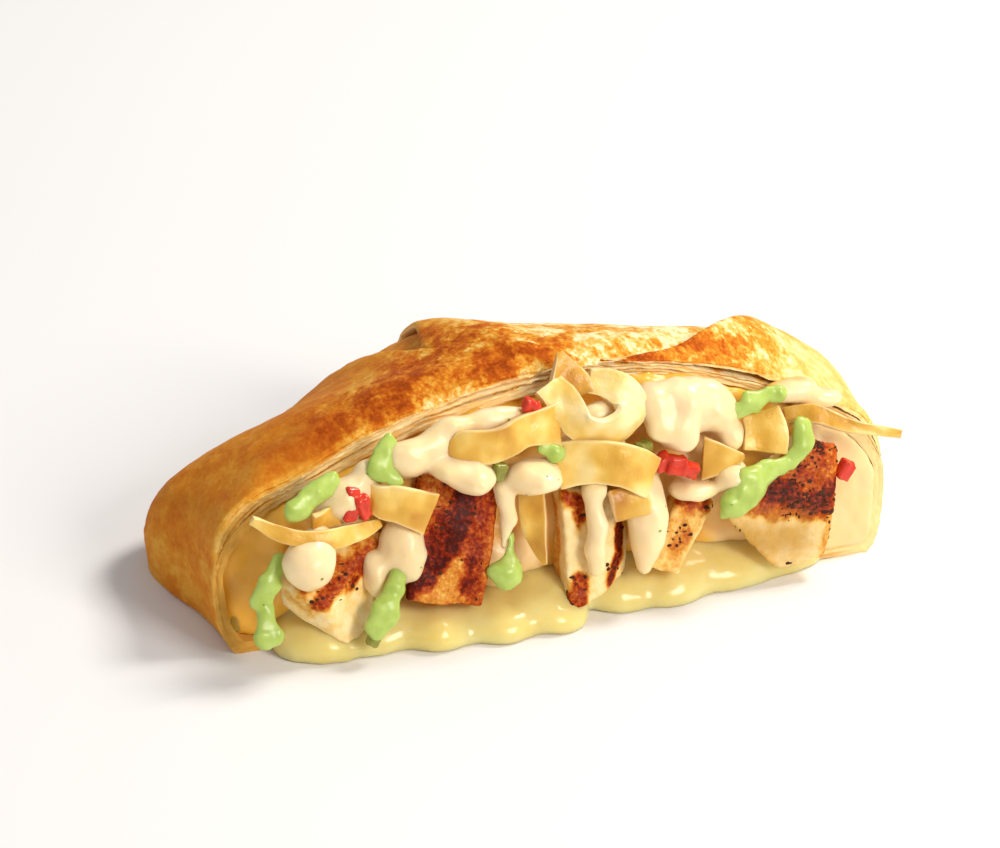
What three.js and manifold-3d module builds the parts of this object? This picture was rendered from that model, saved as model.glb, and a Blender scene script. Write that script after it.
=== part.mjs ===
// Half of a folded, grilled chicken quesadilla, cut through the middle and lying on its flat underside.
// One big flour tortilla is folded over its filling in overlapping flaps, so the whole is a rounded
// hexagon. The cut shows chicken, fried tortilla strips and pepper in a cream sauce, over melted cheese
// that has run out in front.
//
// Millimetres, +Z up. The cut faces -Y and +X runs along it. The origin is on the flat underside, behind
// the cut. Everything is laid out upright, in (x along the cut, y behind the cut, z above the table), with
// -y in front of the cut. The last step leans the whole back a little, as the real thing's cut face leans.
import * as THREE from "three";
import { mergeVertices } from "three/addons/utils/BufferGeometryUtils.js";
import { ConvexGeometry } from "three/addons/geometries/ConvexGeometry.js";
import Module from "manifold-3d";

const wasm = await Module();
wasm.setup();

// ---- driving dimensions, mm

const HALF_WIDTH = 74; // from the middle to a flat side, at the widest height
const CORNER_SPREAD = 12.5; // degrees
const SHELL_TOP = 50; // height of the innermost layer's top, in the middle
const LAYER = 2.2; // the tortilla's own thickness
const CUT_BACK = 36; // from the cut's foot to the origin
const LEAN = 0.2; // how far the cut leans back for each mm of height
const GAP = 0.35; // clearance between neighbouring pieces
const CHEESE_TOP = 9; // height of the melted cheese inside
const CHEESE_END = 56; // where the cheese ends, to the right
const CHEESE_FACE = 1.5; // how far it stands in front of the cut

// ---- solids: closed meshes in, closed meshes out

function solid(geometry) {
  const loose = geometry.index ? geometry.toNonIndexed() : geometry.clone();
  for (const name of Object.keys(loose.attributes)) {
    if (name !== "position") loose.deleteAttribute(name);
  }
  const merged = mergeVertices(loose, 1e-4);
  return new wasm.Manifold(
    new wasm.Mesh({
      numProp: 3,
      vertProperties: merged.attributes.position.array,
      triVerts: new Uint32Array(merged.index.array),
    }),
  );
}

const joined = (solids) => solids.reduce((all, one) => all.add(one));

// The biggest body of a solid: cutting can leave a loose scrap.
function biggest(cut) {
  return cut.decompose().reduce((best, body) => (body.volume() > best.volume() ? body : best));
}

function block(low, high) {
  const box = new THREE.Box3(new THREE.Vector3(...low), new THREE.Vector3(...high));
  const size = box.getSize(new THREE.Vector3());
  const middle = box.getCenter(new THREE.Vector3());
  return solid(new THREE.BoxGeometry(size.x, size.y, size.z).translate(middle.x, middle.y, middle.z));
}

// A closed mesh from rings of points, each with as many points, capped by a fan at each end.
function skinned(rings) {
  const around = rings[0].length;
  const points = rings.flat();
  const faces = [];
  for (let r = 0; r + 1 < rings.length; r++) {
    for (let i = 0; i < around; i++) {
      const a = r * around + i;
      const b = r * around + ((i + 1) % around);
      faces.push(a, b, b + around, a, b + around, a + around);
    }
  }
  const last = points.length - around;
  for (let i = 1; i + 1 < around; i++) {
    faces.push(0, i + 1, i);
    faces.push(last, last + i, last + i + 1);
  }
  const geometry = new THREE.BufferGeometry().setFromPoints(points);
  geometry.setIndex(faces);
  return geometry;
}

// ---- the outer form: a flattened round cushion with folded corners

const DEG = Math.PI / 180;
const rise = (low, high, value) => THREE.MathUtils.smoothstep(value, low, high);

// What changes round the wrap, as [degrees round from +X, value]. It is full and round at the cut, and drawn
// out thin at the folded corners behind.
const CORNERS = [[25, 0.14], [97, 0.18], [150, 0.18]]; // how far each stands out, as a share of the half width
const WIDEST_Z = [[0, 17.5], [30, 16], [60, 9], [150, 7], [180, 17.5]]; // height of the widest place, mm
const FOOT_IN = [[0, 0.075], [30, 0.03], [150, 0], [180, 0.075]]; // how far the foot draws in, as a share
const ROUNDNESS = [[0, 1.7], [40, 1.6], [110, 1.5], [148, 1.3], [180, 1.7]]; // 1 straight, 2 an ellipse
const FOOT_ROUNDNESS = 2.2;

function between(table, value) {
  const next = Math.max(1, table.findIndex(([at]) => at >= value));
  const [[fromAt, from], [toAt, to]] = [table[next - 1], table[next]];
  return THREE.MathUtils.mapLinear(value, fromAt, toAt, from, to);
}

// A point that lies `out` mm outside the base surface. turn goes round from +X, and tilt from the top (90
// degrees) over the widest place (0) to the foot (-90). The dome and the foot are parts of superellipses.
function surfacePoint(turn, tilt, out) {
  const round = Math.min(turn / DEG, 360 - turn / DEG);
  const corners = CORNERS.map(([at, share]) => share * Math.exp(-(((round - at) / CORNER_SPREAD) ** 2)));
  const reach = HALF_WIDTH * (1 + corners.reduce((sum, one) => sum + one));
  const widest = between(WIDEST_Z, round);
  const [c, s] = [Math.max(0, Math.cos(tilt)), Math.sin(tilt)];
  let [share, height, sideways] = [0, 0, 1];
  if (tilt >= 0) {
    const power = 2 / between(ROUNDNESS, round);
    [share, height, sideways] = [c ** power, widest + (SHELL_TOP - widest) * s ** power, c];
  } else {
    const power = 2 / FOOT_ROUNDNESS;
    share = 1 - between(FOOT_IN, round) * (1 - c ** power);
    height = widest * (1 - (-s) ** power);
  }
  const r = reach * share + out * sideways;
  return new THREE.Vector3(r * Math.cos(turn), r * Math.sin(turn), height + out * s);
}

const FINE = { tilts: [88, 77, 66, 55, 45, 36, 28, 20, 13, 6, 0, -12, -30, -55, -90], spokes: 68 };
const COARSE = { tilts: [86, 68, 50, 34, 20, 9, 0, -20, -50, -90], spokes: 44 };

// The closed cushion whose surface lies out(point, tilt) mm outside the base surface.
function cushion(out, { tilts, spokes } = FINE) {
  const outAt = typeof out === "number" ? () => out : out;
  const rings = tilts.map((tilt) =>
    Array.from({ length: spokes }, (_, i) => {
      const turn = ((i + 0.5) / spokes) * 2 * Math.PI;
      const bare = surfacePoint(turn, tilt * DEG, 0);
      return surfacePoint(turn, tilt * DEG, outAt(bare, tilt));
    }).reverse(),
  );
  return solid(skinned(rings));
}

// ---- the tortilla: an inner shell and three flaps folded over it

// Each flap is the part of a thicker cushion on one side of its free edge, seen from above. An edge runs from
// the middle of the wrap out past its side. Near the side the fold is rounded and stands up like a lip.
// puff is where the flap has swollen on the grill: x, y, how wide and how high.
const EDGES = {
  left: [[7, 2], [-6, 13.5], [-15.5, 26], [-20.5, 41], [-26, 56], [-36, 86]],
  back: [[4, 3], [-8, 16], [-14.5, 31], [-12.5, 43], [-9, 58], [-4, 96]],
  right: [[8, -1], [18, 1.5], [30, 5.5], [43, 15], [53, 25], [66, 38], [92, 62]],
};
const FLAPS = [
  { edge: "back", out: 1.8, side: +1, lip: 0.8, puff: [0, 50, 10, 0] },
  { edge: "left", out: 3.2, side: -1, lip: 1, puff: [-40, 30, 10, 0] },
  { edge: "right", out: 4.0, side: +1, lip: 1.2, puff: [44, 14, 13, 2.2] },
];
const FAR = 120; // beyond every side
const SUNK = 1; // how far a flap is rooted in the shell
const LIP = { wide: 10, from: 25, full: 55 };
const FLAP_TILTS = [2, 24]; // a flap grows out of the side between these tilts, degrees

function edgeLine(edge) {
  return new THREE.SplineCurve(EDGES[edge].map((p) => new THREE.Vector2(...p))).getPoints(14);
}

function nearness(line, x, y) {
  const closest = Math.min(...line.map((p) => Math.hypot(p.x - x, p.y - y)));
  return Math.exp(-((closest / LIP.wide) ** 2));
}

function flap({ edge, out, side, lip, puff: [atX, atY, wide, high] }) {
  const line = edgeLine(edge);
  const thick = cushion((point, tilt) => {
    const outwards = rise(LIP.from, LIP.full, Math.hypot(point.x, point.y));
    const lifted = lip * nearness(line, point.x, point.y) * outwards;
    const puffed = high * Math.exp(-((Math.hypot(point.x - atX, point.y - atY) / wide) ** 2));
    return -0.6 + (out + 0.6 + lifted + puffed) * rise(FLAP_TILTS[0], FLAP_TILTS[1], tilt);
  });
  const corners = [...line, new THREE.Vector2(side * FAR, FAR), new THREE.Vector2(side * FAR, -2)];
  corners.push(new THREE.Vector2(line[0].x, -2));
  const area = new THREE.Shape(corners);
  const walls = new THREE.ExtrudeGeometry(area, { depth: FAR, bevelEnabled: false });
  return thick.subtract(cushion(-SUNK)).intersect(solid(walls));
}

// A crack between two layers, open at the cut.
const CRACK = { wide: 0.5, deep: 1.8, half: 58, above: 30 };
function crack(out, low, high) {
  const slit = cushion(out + CRACK.wide / 2).subtract(cushion(out - CRACK.wide / 2));
  return slit.intersect(block([low, -1, CRACK.above], [high, CRACK.deep, FAR]));
}

const behindCut = block([-FAR, 0, -1], [FAR, FAR, FAR]);
const shell = cushion(0).subtract(cushion(-LAYER, COARSE)).intersect(behindCut);
const tortilla = joined([shell, ...FLAPS.map(flap)])
  .intersect(behindCut)
  .subtract(crack(0.2, -CRACK.half, -6))
  .subtract(crack(0.1, 8, CRACK.half))
  .subtract(crack(2.1, 8, CRACK.half * 0.86));

// ---- pieces of the filling. A place is [x, in front of the cut, above the table].

const place = ([x, front, z]) => new THREE.Vector3(x, -front, z);

// Repeatable random numbers from -1 to 1.
function wobble(seed) {
  let state = seed * 7919 + 17;
  return () => {
    state = (state * 16807) % 2147483647;
    return (state / 2147483647) * 2 - 1;
  };
}

// A small dice: a box with its corners cut off and moved a little. turn is [pitch, roll, yaw] in degrees.
function dice({ at, size, turn, seed, bevel = 0.14, uneven = 0.09 }, grow = 0) {
  const draw = wobble(seed);
  const points = [];
  const moves = new THREE.Euler(...turn.map((t) => t * DEG));
  const middle = place(at);
  const small = Math.min(...size);
  for (const which of [0, 1, 2, 3, 4, 5, 6, 7]) {
    const signs = [1, 2, 4].map((bit) => (which & bit ? 1 : -1));
    const moved = signs.map(() => draw() * uneven * small);
    for (const axis of [0, 1, 2]) {
      const corner = signs.map((sign, i) => {
        const half = size[i] / 2 + grow - (i === axis ? 0 : bevel * small);
        return sign * half + moved[i];
      });
      points.push(new THREE.Vector3(...corner).applyEuler(moves).add(middle));
    }
  }
  return solid(new ConvexGeometry(points));
}

const bits = (all, grow = 0) => joined(all.map((one) => dice(one, grow)));

// A hand-cut chunk between two ends with as many corners. Its edges and corners are cut off a little.
const CHUNK_BEVEL = 1.1;
function chunk({ front, back }, grow = 0) {
  const ends = [front.map(place), back.map(place)];
  const around = front.length;
  const points = [];
  for (const [e, end] of ends.entries()) {
    for (const [i, corner] of end.entries()) {
      const next = [end[(i + 1) % around], end[(i + around - 1) % around], ends[1 - e][i]];
      const edges = next.map((to) => to.clone().sub(corner).normalize());
      const outer = corner.clone();
      edges.forEach((edge) => outer.addScaledVector(edge, -grow));
      for (const [a, b] of [[0, 1], [1, 2], [2, 0]]) {
        const inset = outer.clone().addScaledVector(edges[a], CHUNK_BEVEL);
        points.push(inset.addScaledVector(edges[b], CHUNK_BEVEL));
      }
    }
  }
  return solid(new ConvexGeometry(points));
}

// A fried strip: a flat ribbon between two long edges.
const STRIP_THICK = 1.5;
function strip({ one, other }, grow = 0) {
  const curves = [one, other].map((edge) => new THREE.CatmullRomCurve3(edge.map(place)));
  const steps = Math.max(3, (one.length - 1) * 2);
  const rings = [];
  for (let i = 0; i <= steps; i++) {
    const along = i / steps;
    const [a, b] = curves.map((curve) => curve.getPoint(along));
    const tangent = curves[0].getTangent(along).add(curves[1].getTangent(along)).normalize();
    const flat = a.clone().sub(b).normalize();
    const normal = new THREE.Vector3().crossVectors(tangent, flat).normalize();
    const middle = a.clone().add(b).multiplyScalar(0.5).addScaledVector(tangent, grow * (2 * along - 1));
    const halfWide = a.distanceTo(b) / 2 + grow;
    const halfThick = STRIP_THICK / 2 + grow;
    const corner = (u, v) =>
      middle.clone().addScaledVector(flat, u * halfWide).addScaledVector(normal, v * halfThick);
    rings.push([corner(-1, -1), corner(1, -1), corner(1, 1), corner(-1, 1)]);
  }
  return solid(skinned(rings));
}

// A soft blob of sauce or cheese. Big ones get finer facets.
const BIG_BLOB = 7.9;
function blob({ at, radii }, grow = 0) {
  const ball = new THREE.IcosahedronGeometry(1, radii[0] > BIG_BLOB ? 2 : 1);
  const middle = place(at);
  ball.scale(...radii.map((r) => r + grow)).translate(middle.x, middle.y, middle.z);
  return solid(ball);
}

// A run of thick sauce through several places, each with its own radius: a round-ended tapering link between
// each two. It is flattened from front to back to a share of its width.
function run({ path, radii }, flat = 1, grow = 0) {
  const stretched = path.map(([x, front, z]) => place([x, front / flat, z]));
  const links = path.slice(1).map((_, i) => {
    const [a, b] = [stretched[i].clone(), stretched[i + 1].clone()];
    const length = a.distanceTo(b);
    const [ra, rb] = [radii[i] + grow, radii[i + 1] + grow];
    const outline = [];
    const stops = [[-90, ra, 0], [-25, ra, 0], [25, rb, length], [90, rb, length]];
    for (const [angle, r, from] of stops) {
      const out = Math.abs(angle) === 90 ? 0 : r * Math.cos(angle * DEG);
      outline.push(new THREE.Vector2(out, from + r * Math.sin(angle * DEG)));
    }
    const lathe = new THREE.LatheGeometry(outline, 6);
    const up = new THREE.Vector3(0, 1, 0);
    const turned = new THREE.Quaternion().setFromUnitVectors(up, b.sub(a).normalize());
    return solid(lathe.applyQuaternion(turned).translate(a.x, a.y, a.z));
  });
  return joined(links).scale([1, flat, 1]);
}

// Chunks of chicken: the corners of two ends, each anticlockwise from its bottom left, seen from the front.
const CHICKEN = [
  {
    front: [[-51, 10.5, 3.8], [-43.7, 8, 3.5], [-38.8, 4.5, 23], [-54.4, 13, 12.6]],
    back: [[-61.5, 6, 12], [-54, -3, 9.5], [-46.5, -5, 26.5], [-62.9, 7.5, 17.9]],
  },
  {
    front: [[-36.5, 11, 11.2], [-20.5, 12.5, 7.6], [-13.9, 8, 29.4], [-30.3, 6, 36]],
    back: [[-34.5, -4, 8.2], [-18.5, -2.5, 4.6], [-11.9, -7, 26.4], [-28.3, -9, 33]],
  },
  {
    front: [
      [-1.4, 11, 3], [8.1, 10.5, 5.5], [13.4, 5.5, 6.7], [14.3, 3.5, 20.2], [9.3, 7, 26],
      [-0.7, 8, 27],
    ],
    back: [
      [-1.4, -2, 3], [8.1, -2.5, 5.5], [13.4, -7.5, 6.7], [14.3, -9.5, 20.2], [9.3, -6, 26],
      [-0.7, -5, 27],
    ],
  },
  {
    front: [[15.7, 11.5, 10], [23, 11.5, 7.4], [33.8, 7.5, 19.8], [25.3, 7.5, 22.6]],
    back: [[17.7, -1.5, 9], [25, -1.5, 6.4], [35.8, -5.5, 18.8], [27.3, -5.5, 21.6]],
  },
  {
    front: [[45.5, 9, 3.4], [56.3, 9, 4.2], [59, 10, 14.3], [33.2, 10, 17.5]],
    back: [[50, -4, 7], [62, -4, 9], [63.4, 3.5, 27.7], [53.5, 3, 30.8]],
  },
];

// Fried strips: the two long edges, through pairs of places.
const STRIPS = [
  {
    one: [
      [-68.2, 10, 33.5], [-63.2, 11, 31.5], [-58, 12, 29.9], [-51.9, 11.5, 29.2], [-45.9, 10, 28.7],
      [-41, 8, 27.6],
    ],
    other: [
      [-67.7, 10, 31.8], [-64, 12, 28.7], [-58.9, 13, 27], [-51.9, 13, 25.5], [-44.8, 11.3, 25.6],
      [-40.1, 8, 26.2],
    ],
  },
  {
    one: [[-53.7, 10, 31.5], [-49.7, 8, 32.2], [-44.8, 7, 32.1], [-40.5, 6, 31.5]],
    other: [[-57.2, 11, 28.4], [-50.5, 9, 28.2], [-44.9, 8, 27.8], [-40.9, 7, 27.5]],
  },
  {
    one: [[-42.7, 7, 35.5], [-39.5, 9, 35.5], [-35.9, 10, 34.9], [-31.7, 10, 32.5]],
    other: [[-42, 8, 32], [-40.5, 10.5, 28.7], [-35.9, 11.5, 27.2], [-28.5, 11, 24]],
  },
  {
    one: [[-24.9, 8, 41.2], [-22.3, 9, 44.1], [-15.1, 11, 44.4], [-9, 10, 45.9], [-3.7, 8, 45.6]],
    other: [[-24.6, 9, 39], [-22.2, 11, 37.4], [-16, 12, 37.4], [-8.9, 11.5, 39.4], [1.8, 9, 38.2]],
  },
  {
    one: [
      [1.3, 4.5, 49.8], [4.1, 8.5, 47.1], [4.7, 11.5, 44.4], [8, 12.5, 43.6], [10.7, 11.5, 44.6],
      [10.4, 9.5, 45.8], [8.5, 7.5, 46], [6.6, 6, 46],
    ],
    other: [
      [-5, 6.5, 48.5], [-1.9, 8.5, 43.7], [1.6, 10, 38.9], [9.5, 11, 37.4], [16.8, 9.5, 40],
      [18.1, 8, 45.2], [13.6, 6, 49.6], [8.1, 4.5, 50.6],
    ],
  },
  {
    one: [[1.3, 3, 54.2], [-1.2, 5, 50.3], [-1.8, 6, 46.5]],
    other: [[2.4, 3, 54], [6.7, 5, 48.7], [8, 6, 45.5]],
  },
  {
    one: [[-1, 8, 38.2], [3.1, 10, 39.1], [8, 12, 38.9], [13.4, 12.3, 37.3], [18.1, 10.5, 33.5]],
    other: [[-3.1, 10, 28.7], [2, 12, 29.9], [7.2, 13.5, 30.1], [12.3, 14, 28.4], [17.6, 12.8, 24.8]],
  },
  {
    one: [[8.1, 11.5, 29.4], [8.3, 12.5, 26.4], [9.4, 12, 22.7]],
    other: [[16.2, 11.8, 27.3], [16.8, 12.5, 24.6], [16.8, 11.8, 21.1]],
  },
  {
    one: [[-9.6, 6, 28.4], [-9.8, 7.5, 22.3], [-8.2, 9, 18.1], [-6.6, 11, 14.5]],
    other: [[-4.6, 8, 28.6], [-5.1, 10, 22.6], [-5.6, 11, 17.6], [-5.9, 11.3, 14.1]],
  },
  {
    one: [[30.5, 7.5, 34.7], [34.6, 8.8, 32.9], [39.2, 9.5, 30.3]],
    other: [[30.1, 9.5, 25.6], [34.2, 10, 26.8], [38.9, 9.7, 29]],
  },
  {
    one: [[41.1, 5, 35.9], [40.7, 7, 32], [39.9, 8, 27.8]],
    other: [[48.5, 6, 37.8], [49.6, 8, 34], [48.8, 8.5, 30.6]],
  },
  {
    one: [[50.5, 3, 35.6], [56.3, 5, 36.3], [62.3, 8, 33.9], [68.3, 9.5, 32.2], [74.6, 10, 30.5]],
    other: [
      [50.8, 5, 32.7], [56.5, 7.5, 33.2], [62.8, 9.5, 31.3], [68.5, 10.3, 30.1], [74.2, 10.6, 28.8],
    ],
  },
];

// Bits of pepper and of chile. Each is one or several dice that stick together.
const PEPPERS = [
  [
    { at: [-46.7, 9.2, 32.5], size: [2.9, 2.4, 6.8], turn: [0, 10, 10], seed: 31 },
    { at: [-44.2, 9.6, 31.5], size: [2.8, 2.4, 5.2], turn: [8, -16, 20], seed: 41 },
  ],
  [
    { at: [-7.3, 8.5, 46.9], size: [2.2, 2, 2.8], turn: [20, 25, 0], seed: 32 },
    { at: [-5.8, 8.7, 46.2], size: [2.4, 2, 2.2], turn: [0, -20, 20], seed: 42 },
  ],
  [
    { at: [20.8, 10, 31.3], size: [3.8, 2.6, 3], turn: [10, -20, 10], seed: 33 },
    { at: [23.7, 10.4, 30.7], size: [4, 2.8, 3.8], turn: [0, 15, 0], seed: 43 },
    { at: [26.8, 10, 28.9], size: [4, 2.6, 3.2], turn: [20, 28, 0], seed: 53 },
  ],
  [{ at: [63.2, 6, 21.6], size: [3.6, 2.6, 4.2], turn: [0, 38, 10], seed: 34 }],
];
const CHILES = [
  [{ at: [-15.4, 11.3, 35.2], size: [2.6, 2.4, 3.6], turn: [0, 10, 20], seed: 41 }],
  [{ at: [17, 9.5, 34.8], size: [3.4, 2.6, 2.6], turn: [10, 0, 30], seed: 42 }],
  [{ at: [-44.6, 12.3, 5.3], size: [2.6, 2.4, 2.6], turn: [0, 30, 0], seed: 43 }],
];

const CREAM = [
  { at: [-57.1, 12.5, 22.7], radii: [5.2, 4.4, 5] },
  { at: [-54.3, 10.5, 26.3], radii: [3.4, 3.2, 3.4] },
  { at: [-47.2, 6.5, 31.8], radii: [5.6, 4.1, 5] },
  { at: [-45.7, 5, 35.1], radii: [5.2, 3.6, 3.6] },
  { at: [-41.5, 5, 37.7], radii: [3.6, 3.6, 3] },
  { at: [-33, 6, 39.4], radii: [5.6, 4.4, 4.2] },
  { at: [-27.1, 5.5, 40.7], radii: [5, 4.2, 4.2] },
  { at: [-35.5, 7, 20], radii: [4.8, 4.6, 7] },
  { at: [-41.8, 6.5, 15.3], radii: [2.8, 4.1, 4.6] },
  { at: [-21.8, 5.5, 44.1], radii: [6.4, 4, 3.2] },
  { at: [-13.2, 5, 44.3], radii: [7.4, 4, 3.2] },
  { at: [-25.1, 8, 36.6], radii: [3.8, 5.6, 2.4] },
  { at: [-20.8, 9.5, 34.8], radii: [4.6, 7.1, 3.3] },
  { at: [-7.2, 9.5, 32.8], radii: [6, 7.1, 3.4] },
  { at: [21, 6, 42], radii: [4.6, 4.2, 4] },
  { at: [27.2, 6, 42.4], radii: [5, 4.2, 3.6] },
  { at: [24.2, 7, 38], radii: [5.6, 4.6, 5] },
  { at: [31.3, 5, 40], radii: [4.6, 4, 5] },
  { at: [34.8, 5.5, 38.7], radii: [4.4, 4, 5.4] },
  { at: [37.4, 6, 33], radii: [3.2, 3.6, 3.4] },
  { at: [36.5, 8, 26.3], radii: [3.6, 5.6, 2.5] },
  { at: [28.7, 7, 23.5], radii: [5.5, 4.6, 1.9] },
  { at: [53.4, 3, 38.8], radii: [5.6, 3.2, 2.6] },
  { at: [59.8, 2.6, 36.1], radii: [4.4, 3, 1.9] },
  { at: [8, 6.5, 41.7], radii: [4, 4.1, 3.4] },
  { at: [6.3, 5, 33.5], radii: [9, 4, 6] },
];
const CREAM_RUNS = [
  { path: [[-13.8, 9.5, 30.3], [-13.2, 9.5, 24.3], [-14.6, 9.5, 18.8]], radii: [2, 1.5, 0.9] },
  {
    path: [[7.6, 5.5, 29.2], [5.4, 10.5, 27.5], [5.2, 11.5, 21.8], [4.3, 12, 16.1], [4.8, 12, 12.7]],
    radii: [3, 2.3, 2.1, 1.9, 1.5],
  },
  {
    path: [[16.7, 7, 26.5], [17.4, 9, 20.6], [16.2, 10.5, 14.8], [15.5, 10.8, 11.1]],
    radii: [4, 4.2, 3.2, 1.5],
  },
  { path: [[21.3, 8, 42], [20.8, 9, 38.1]], radii: [3, 3] },
  { path: [[26.8, 8, 42], [26, 9.5, 36.3]], radii: [3.2, 3] },
];

const GREEN_RUNS = [
  { path: [[-50.1, 7.5, 36.7], [-54.4, 9, 35], [-59, 10, 32.7]], radii: [1.8, 2.3, 2.5] },
  { path: [[-36.6, 6.5, 42.3], [-40.3, 8.5, 38.7], [-37, 9.5, 35.4]], radii: [1.7, 2.3, 1.9] },
  {
    path: [[-62.3, 9, 22.2], [-65.4, 10, 19.1], [-67.6, 10, 15.5], [-66.5, 11, 13], [-66.3, 12, 9.5]],
    radii: [2, 2.3, 2.1, 1.5, 2.9],
  },
  {
    path: [[-37.4, 9.5, 16.8], [-39.2, 12, 14.3], [-41.7, 13, 11.2], [-44.2, 13.6, 8.5]],
    radii: [1.2, 2.2, 2.8, 2.5],
  },
  { path: [[-12.4, 9, 20.4], [-13.4, 10, 17.7], [-14.9, 11.5, 14.1]], radii: [0.8, 1.4, 3.7] },
  { path: [[-5.2, 10, 37.9], [-2.3, 10.3, 36.4]], radii: [1.3, 1.8] },
  { path: [[-14.3, 7, 45.5], [-9.9, 7, 46.3]], radii: [1.1, 1.5] },
  { path: [[37.1, 7.5, 37.6], [41.5, 7.5, 40], [48, 6, 40]], radii: [1.5, 2.3, 2] },
  {
    path: [
      [52.9, 8, 33.2], [52.4, 9, 29.2], [49.2, 9.5, 26.8], [43.5, 10.5, 26.3], [39.3, 12, 24.5],
      [35.7, 12.6, 21.6], [33.4, 12, 19.3],
    ],
    radii: [1.9, 2.1, 1.5, 2.2, 3.9, 3, 1.2],
  },
];
const GREEN_FLAT = 0.6; // how thick a run of green sauce is, as a share of its width

// Where the cheese has run out over the tortilla's edge: [x, how far, half as wide].
const CHEESE_RUNS = [
  [-52, 11, 11], [-41, 11, 8.5], [-29, 13.5, 11], [-16, 14.5, 11], [-4, 14, 10],
  [13, 9.5, 9.5], [23, 10.5, 9.5], [35, 8, 10], [45, 5.5, 9.5], [53, 3.5, 7],
];
const RUN_HIGH = 8; // above the table, at the cut
const RUN_LEVEL = 2; // height of a run's widest place

// ---- fitting: each piece gives way to those already placed, and keeps clear of them

const nodes = [];
const aroundShell = cushion((point, tilt) => 6 * rise(0, 20, tilt) + GAP);
const atShell = block([-FAR, -GAP, -1], [FAR, FAR, FAR]);
let taken = aroundShell.subtract(cushion(-LAYER - GAP, COARSE)).intersect(atShell); // all that is placed

function fit(name, own, grown, colour, roughness) {
  const fitted = biggest(own.subtract(taken));
  if (grown) taken = taken.add(grown);
  nodes.push({ name, fitted, colour, roughness });
}

nodes.push({ name: "tortilla", fitted: biggest(tortilla), colour: 0xe0b070, roughness: 0.8 });
const KINDS = [
  { name: "chicken", all: CHICKEN, make: chunk, colour: 0xc98a4a, roughness: 0.6 },
  { name: "tortilla_strip", all: STRIPS, make: strip, colour: 0xe2ab45, roughness: 0.6 },
  { name: "red_pepper", all: PEPPERS, make: bits, colour: 0xd0281c, roughness: 0.3 },
  { name: "green_chile", all: CHILES, make: bits, colour: 0x8a8a38, roughness: 0.3 },
];
for (const { name, all, make, colour, roughness } of KINDS) {
  for (const [i, one] of all.entries()) {
    fit(`${name}_${i + 1}`, make(one), make(one, GAP), colour, roughness);
  }
}

// What fills the wrap inside its shell, up to a little in front of the cut.
const FACE = 3.5;
const inside = cushion(-LAYER - 2 * GAP, COARSE).intersect(block([-FAR, -FACE, -1], [FAR, FAR, FAR]));
const aboveTable = block([-FAR, -FAR, 0], [FAR, FAR, FAR]);

const cheeseLevel = block([-FAR, -CHEESE_FACE, -1], [CHEESE_END, FAR, CHEESE_TOP]);
const cheeseRuns = (grow) =>
  CHEESE_RUNS.map(([x, out, half]) =>
    blob({ at: [x, -1, RUN_LEVEL], radii: [half, out + 1, RUN_HIGH - RUN_LEVEL] }, grow),
  );
const cheese = joined([inside.intersect(cheeseLevel), ...cheeseRuns(0)]).intersect(aboveTable);
const cheeseRoom = joined([cheeseLevel.translate(0, 0, GAP), ...cheeseRuns(GAP)]);
fit("melted_cheese", cheese, cheeseRoom, 0xe8dc92, 0.25);

const aboveCheese = block([-FAR, -FAR, CHEESE_TOP - 1], [FAR, FAR, FAR]);
const besideCheese = block([CHEESE_END - 1, -1, -1], [FAR, FAR, FAR]);
const sauce = joined([
  inside.intersect(aboveCheese.add(besideCheese)),
  ...CREAM.map((one) => blob(one)),
  ...CREAM_RUNS.map((one) => run(one)),
  ...GREEN_RUNS.map((one) => run(one, GREEN_FLAT)),
]);
fit("cream_sauce", sauce.intersect(aboveTable), null, 0xf4ead0, 0.3);

// ---- the model: lean everything back, and put the origin on the underside

const leaned = new THREE.Matrix4().set(1, 0, 0, 0, 0, 1, LEAN, -CUT_BACK, 0, 0, 1, 0, 0, 0, 0, 1);
const group = new THREE.Group();
for (const { name, fitted, colour, roughness } of nodes) {
  const { vertProperties, triVerts } = fitted.getMesh();
  const geometry = new THREE.BufferGeometry();
  geometry.setAttribute("position", new THREE.BufferAttribute(new Float32Array(vertProperties), 3));
  geometry.setIndex(new THREE.BufferAttribute(new Uint32Array(triVerts), 1));
  geometry.applyMatrix4(leaned);
  geometry.computeVertexNormals();
  const material = new THREE.MeshStandardMaterial({ color: colour, roughness, metalness: 0 });
  const mesh = new THREE.Mesh(geometry, material);
  mesh.name = name;
  group.add(mesh);
}

export default group;
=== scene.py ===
# %% [markdown]
# # Half of a folded, grilled chicken quesadilla
#
# One flour tortilla is folded over its filling in overlapping flaps, pressed on a grill until it is
# toasted, and cut through the middle. This notebook builds the half that lies on the table with its cut
# side forward.
#
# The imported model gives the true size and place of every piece. Each step below replaces one of its plain
# solids by a piece with the real surface: dough, meat, fried strips, sauce and cheese.

import itertools
import math
import bpy
import numpy as np
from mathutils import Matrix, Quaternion, Vector


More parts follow.
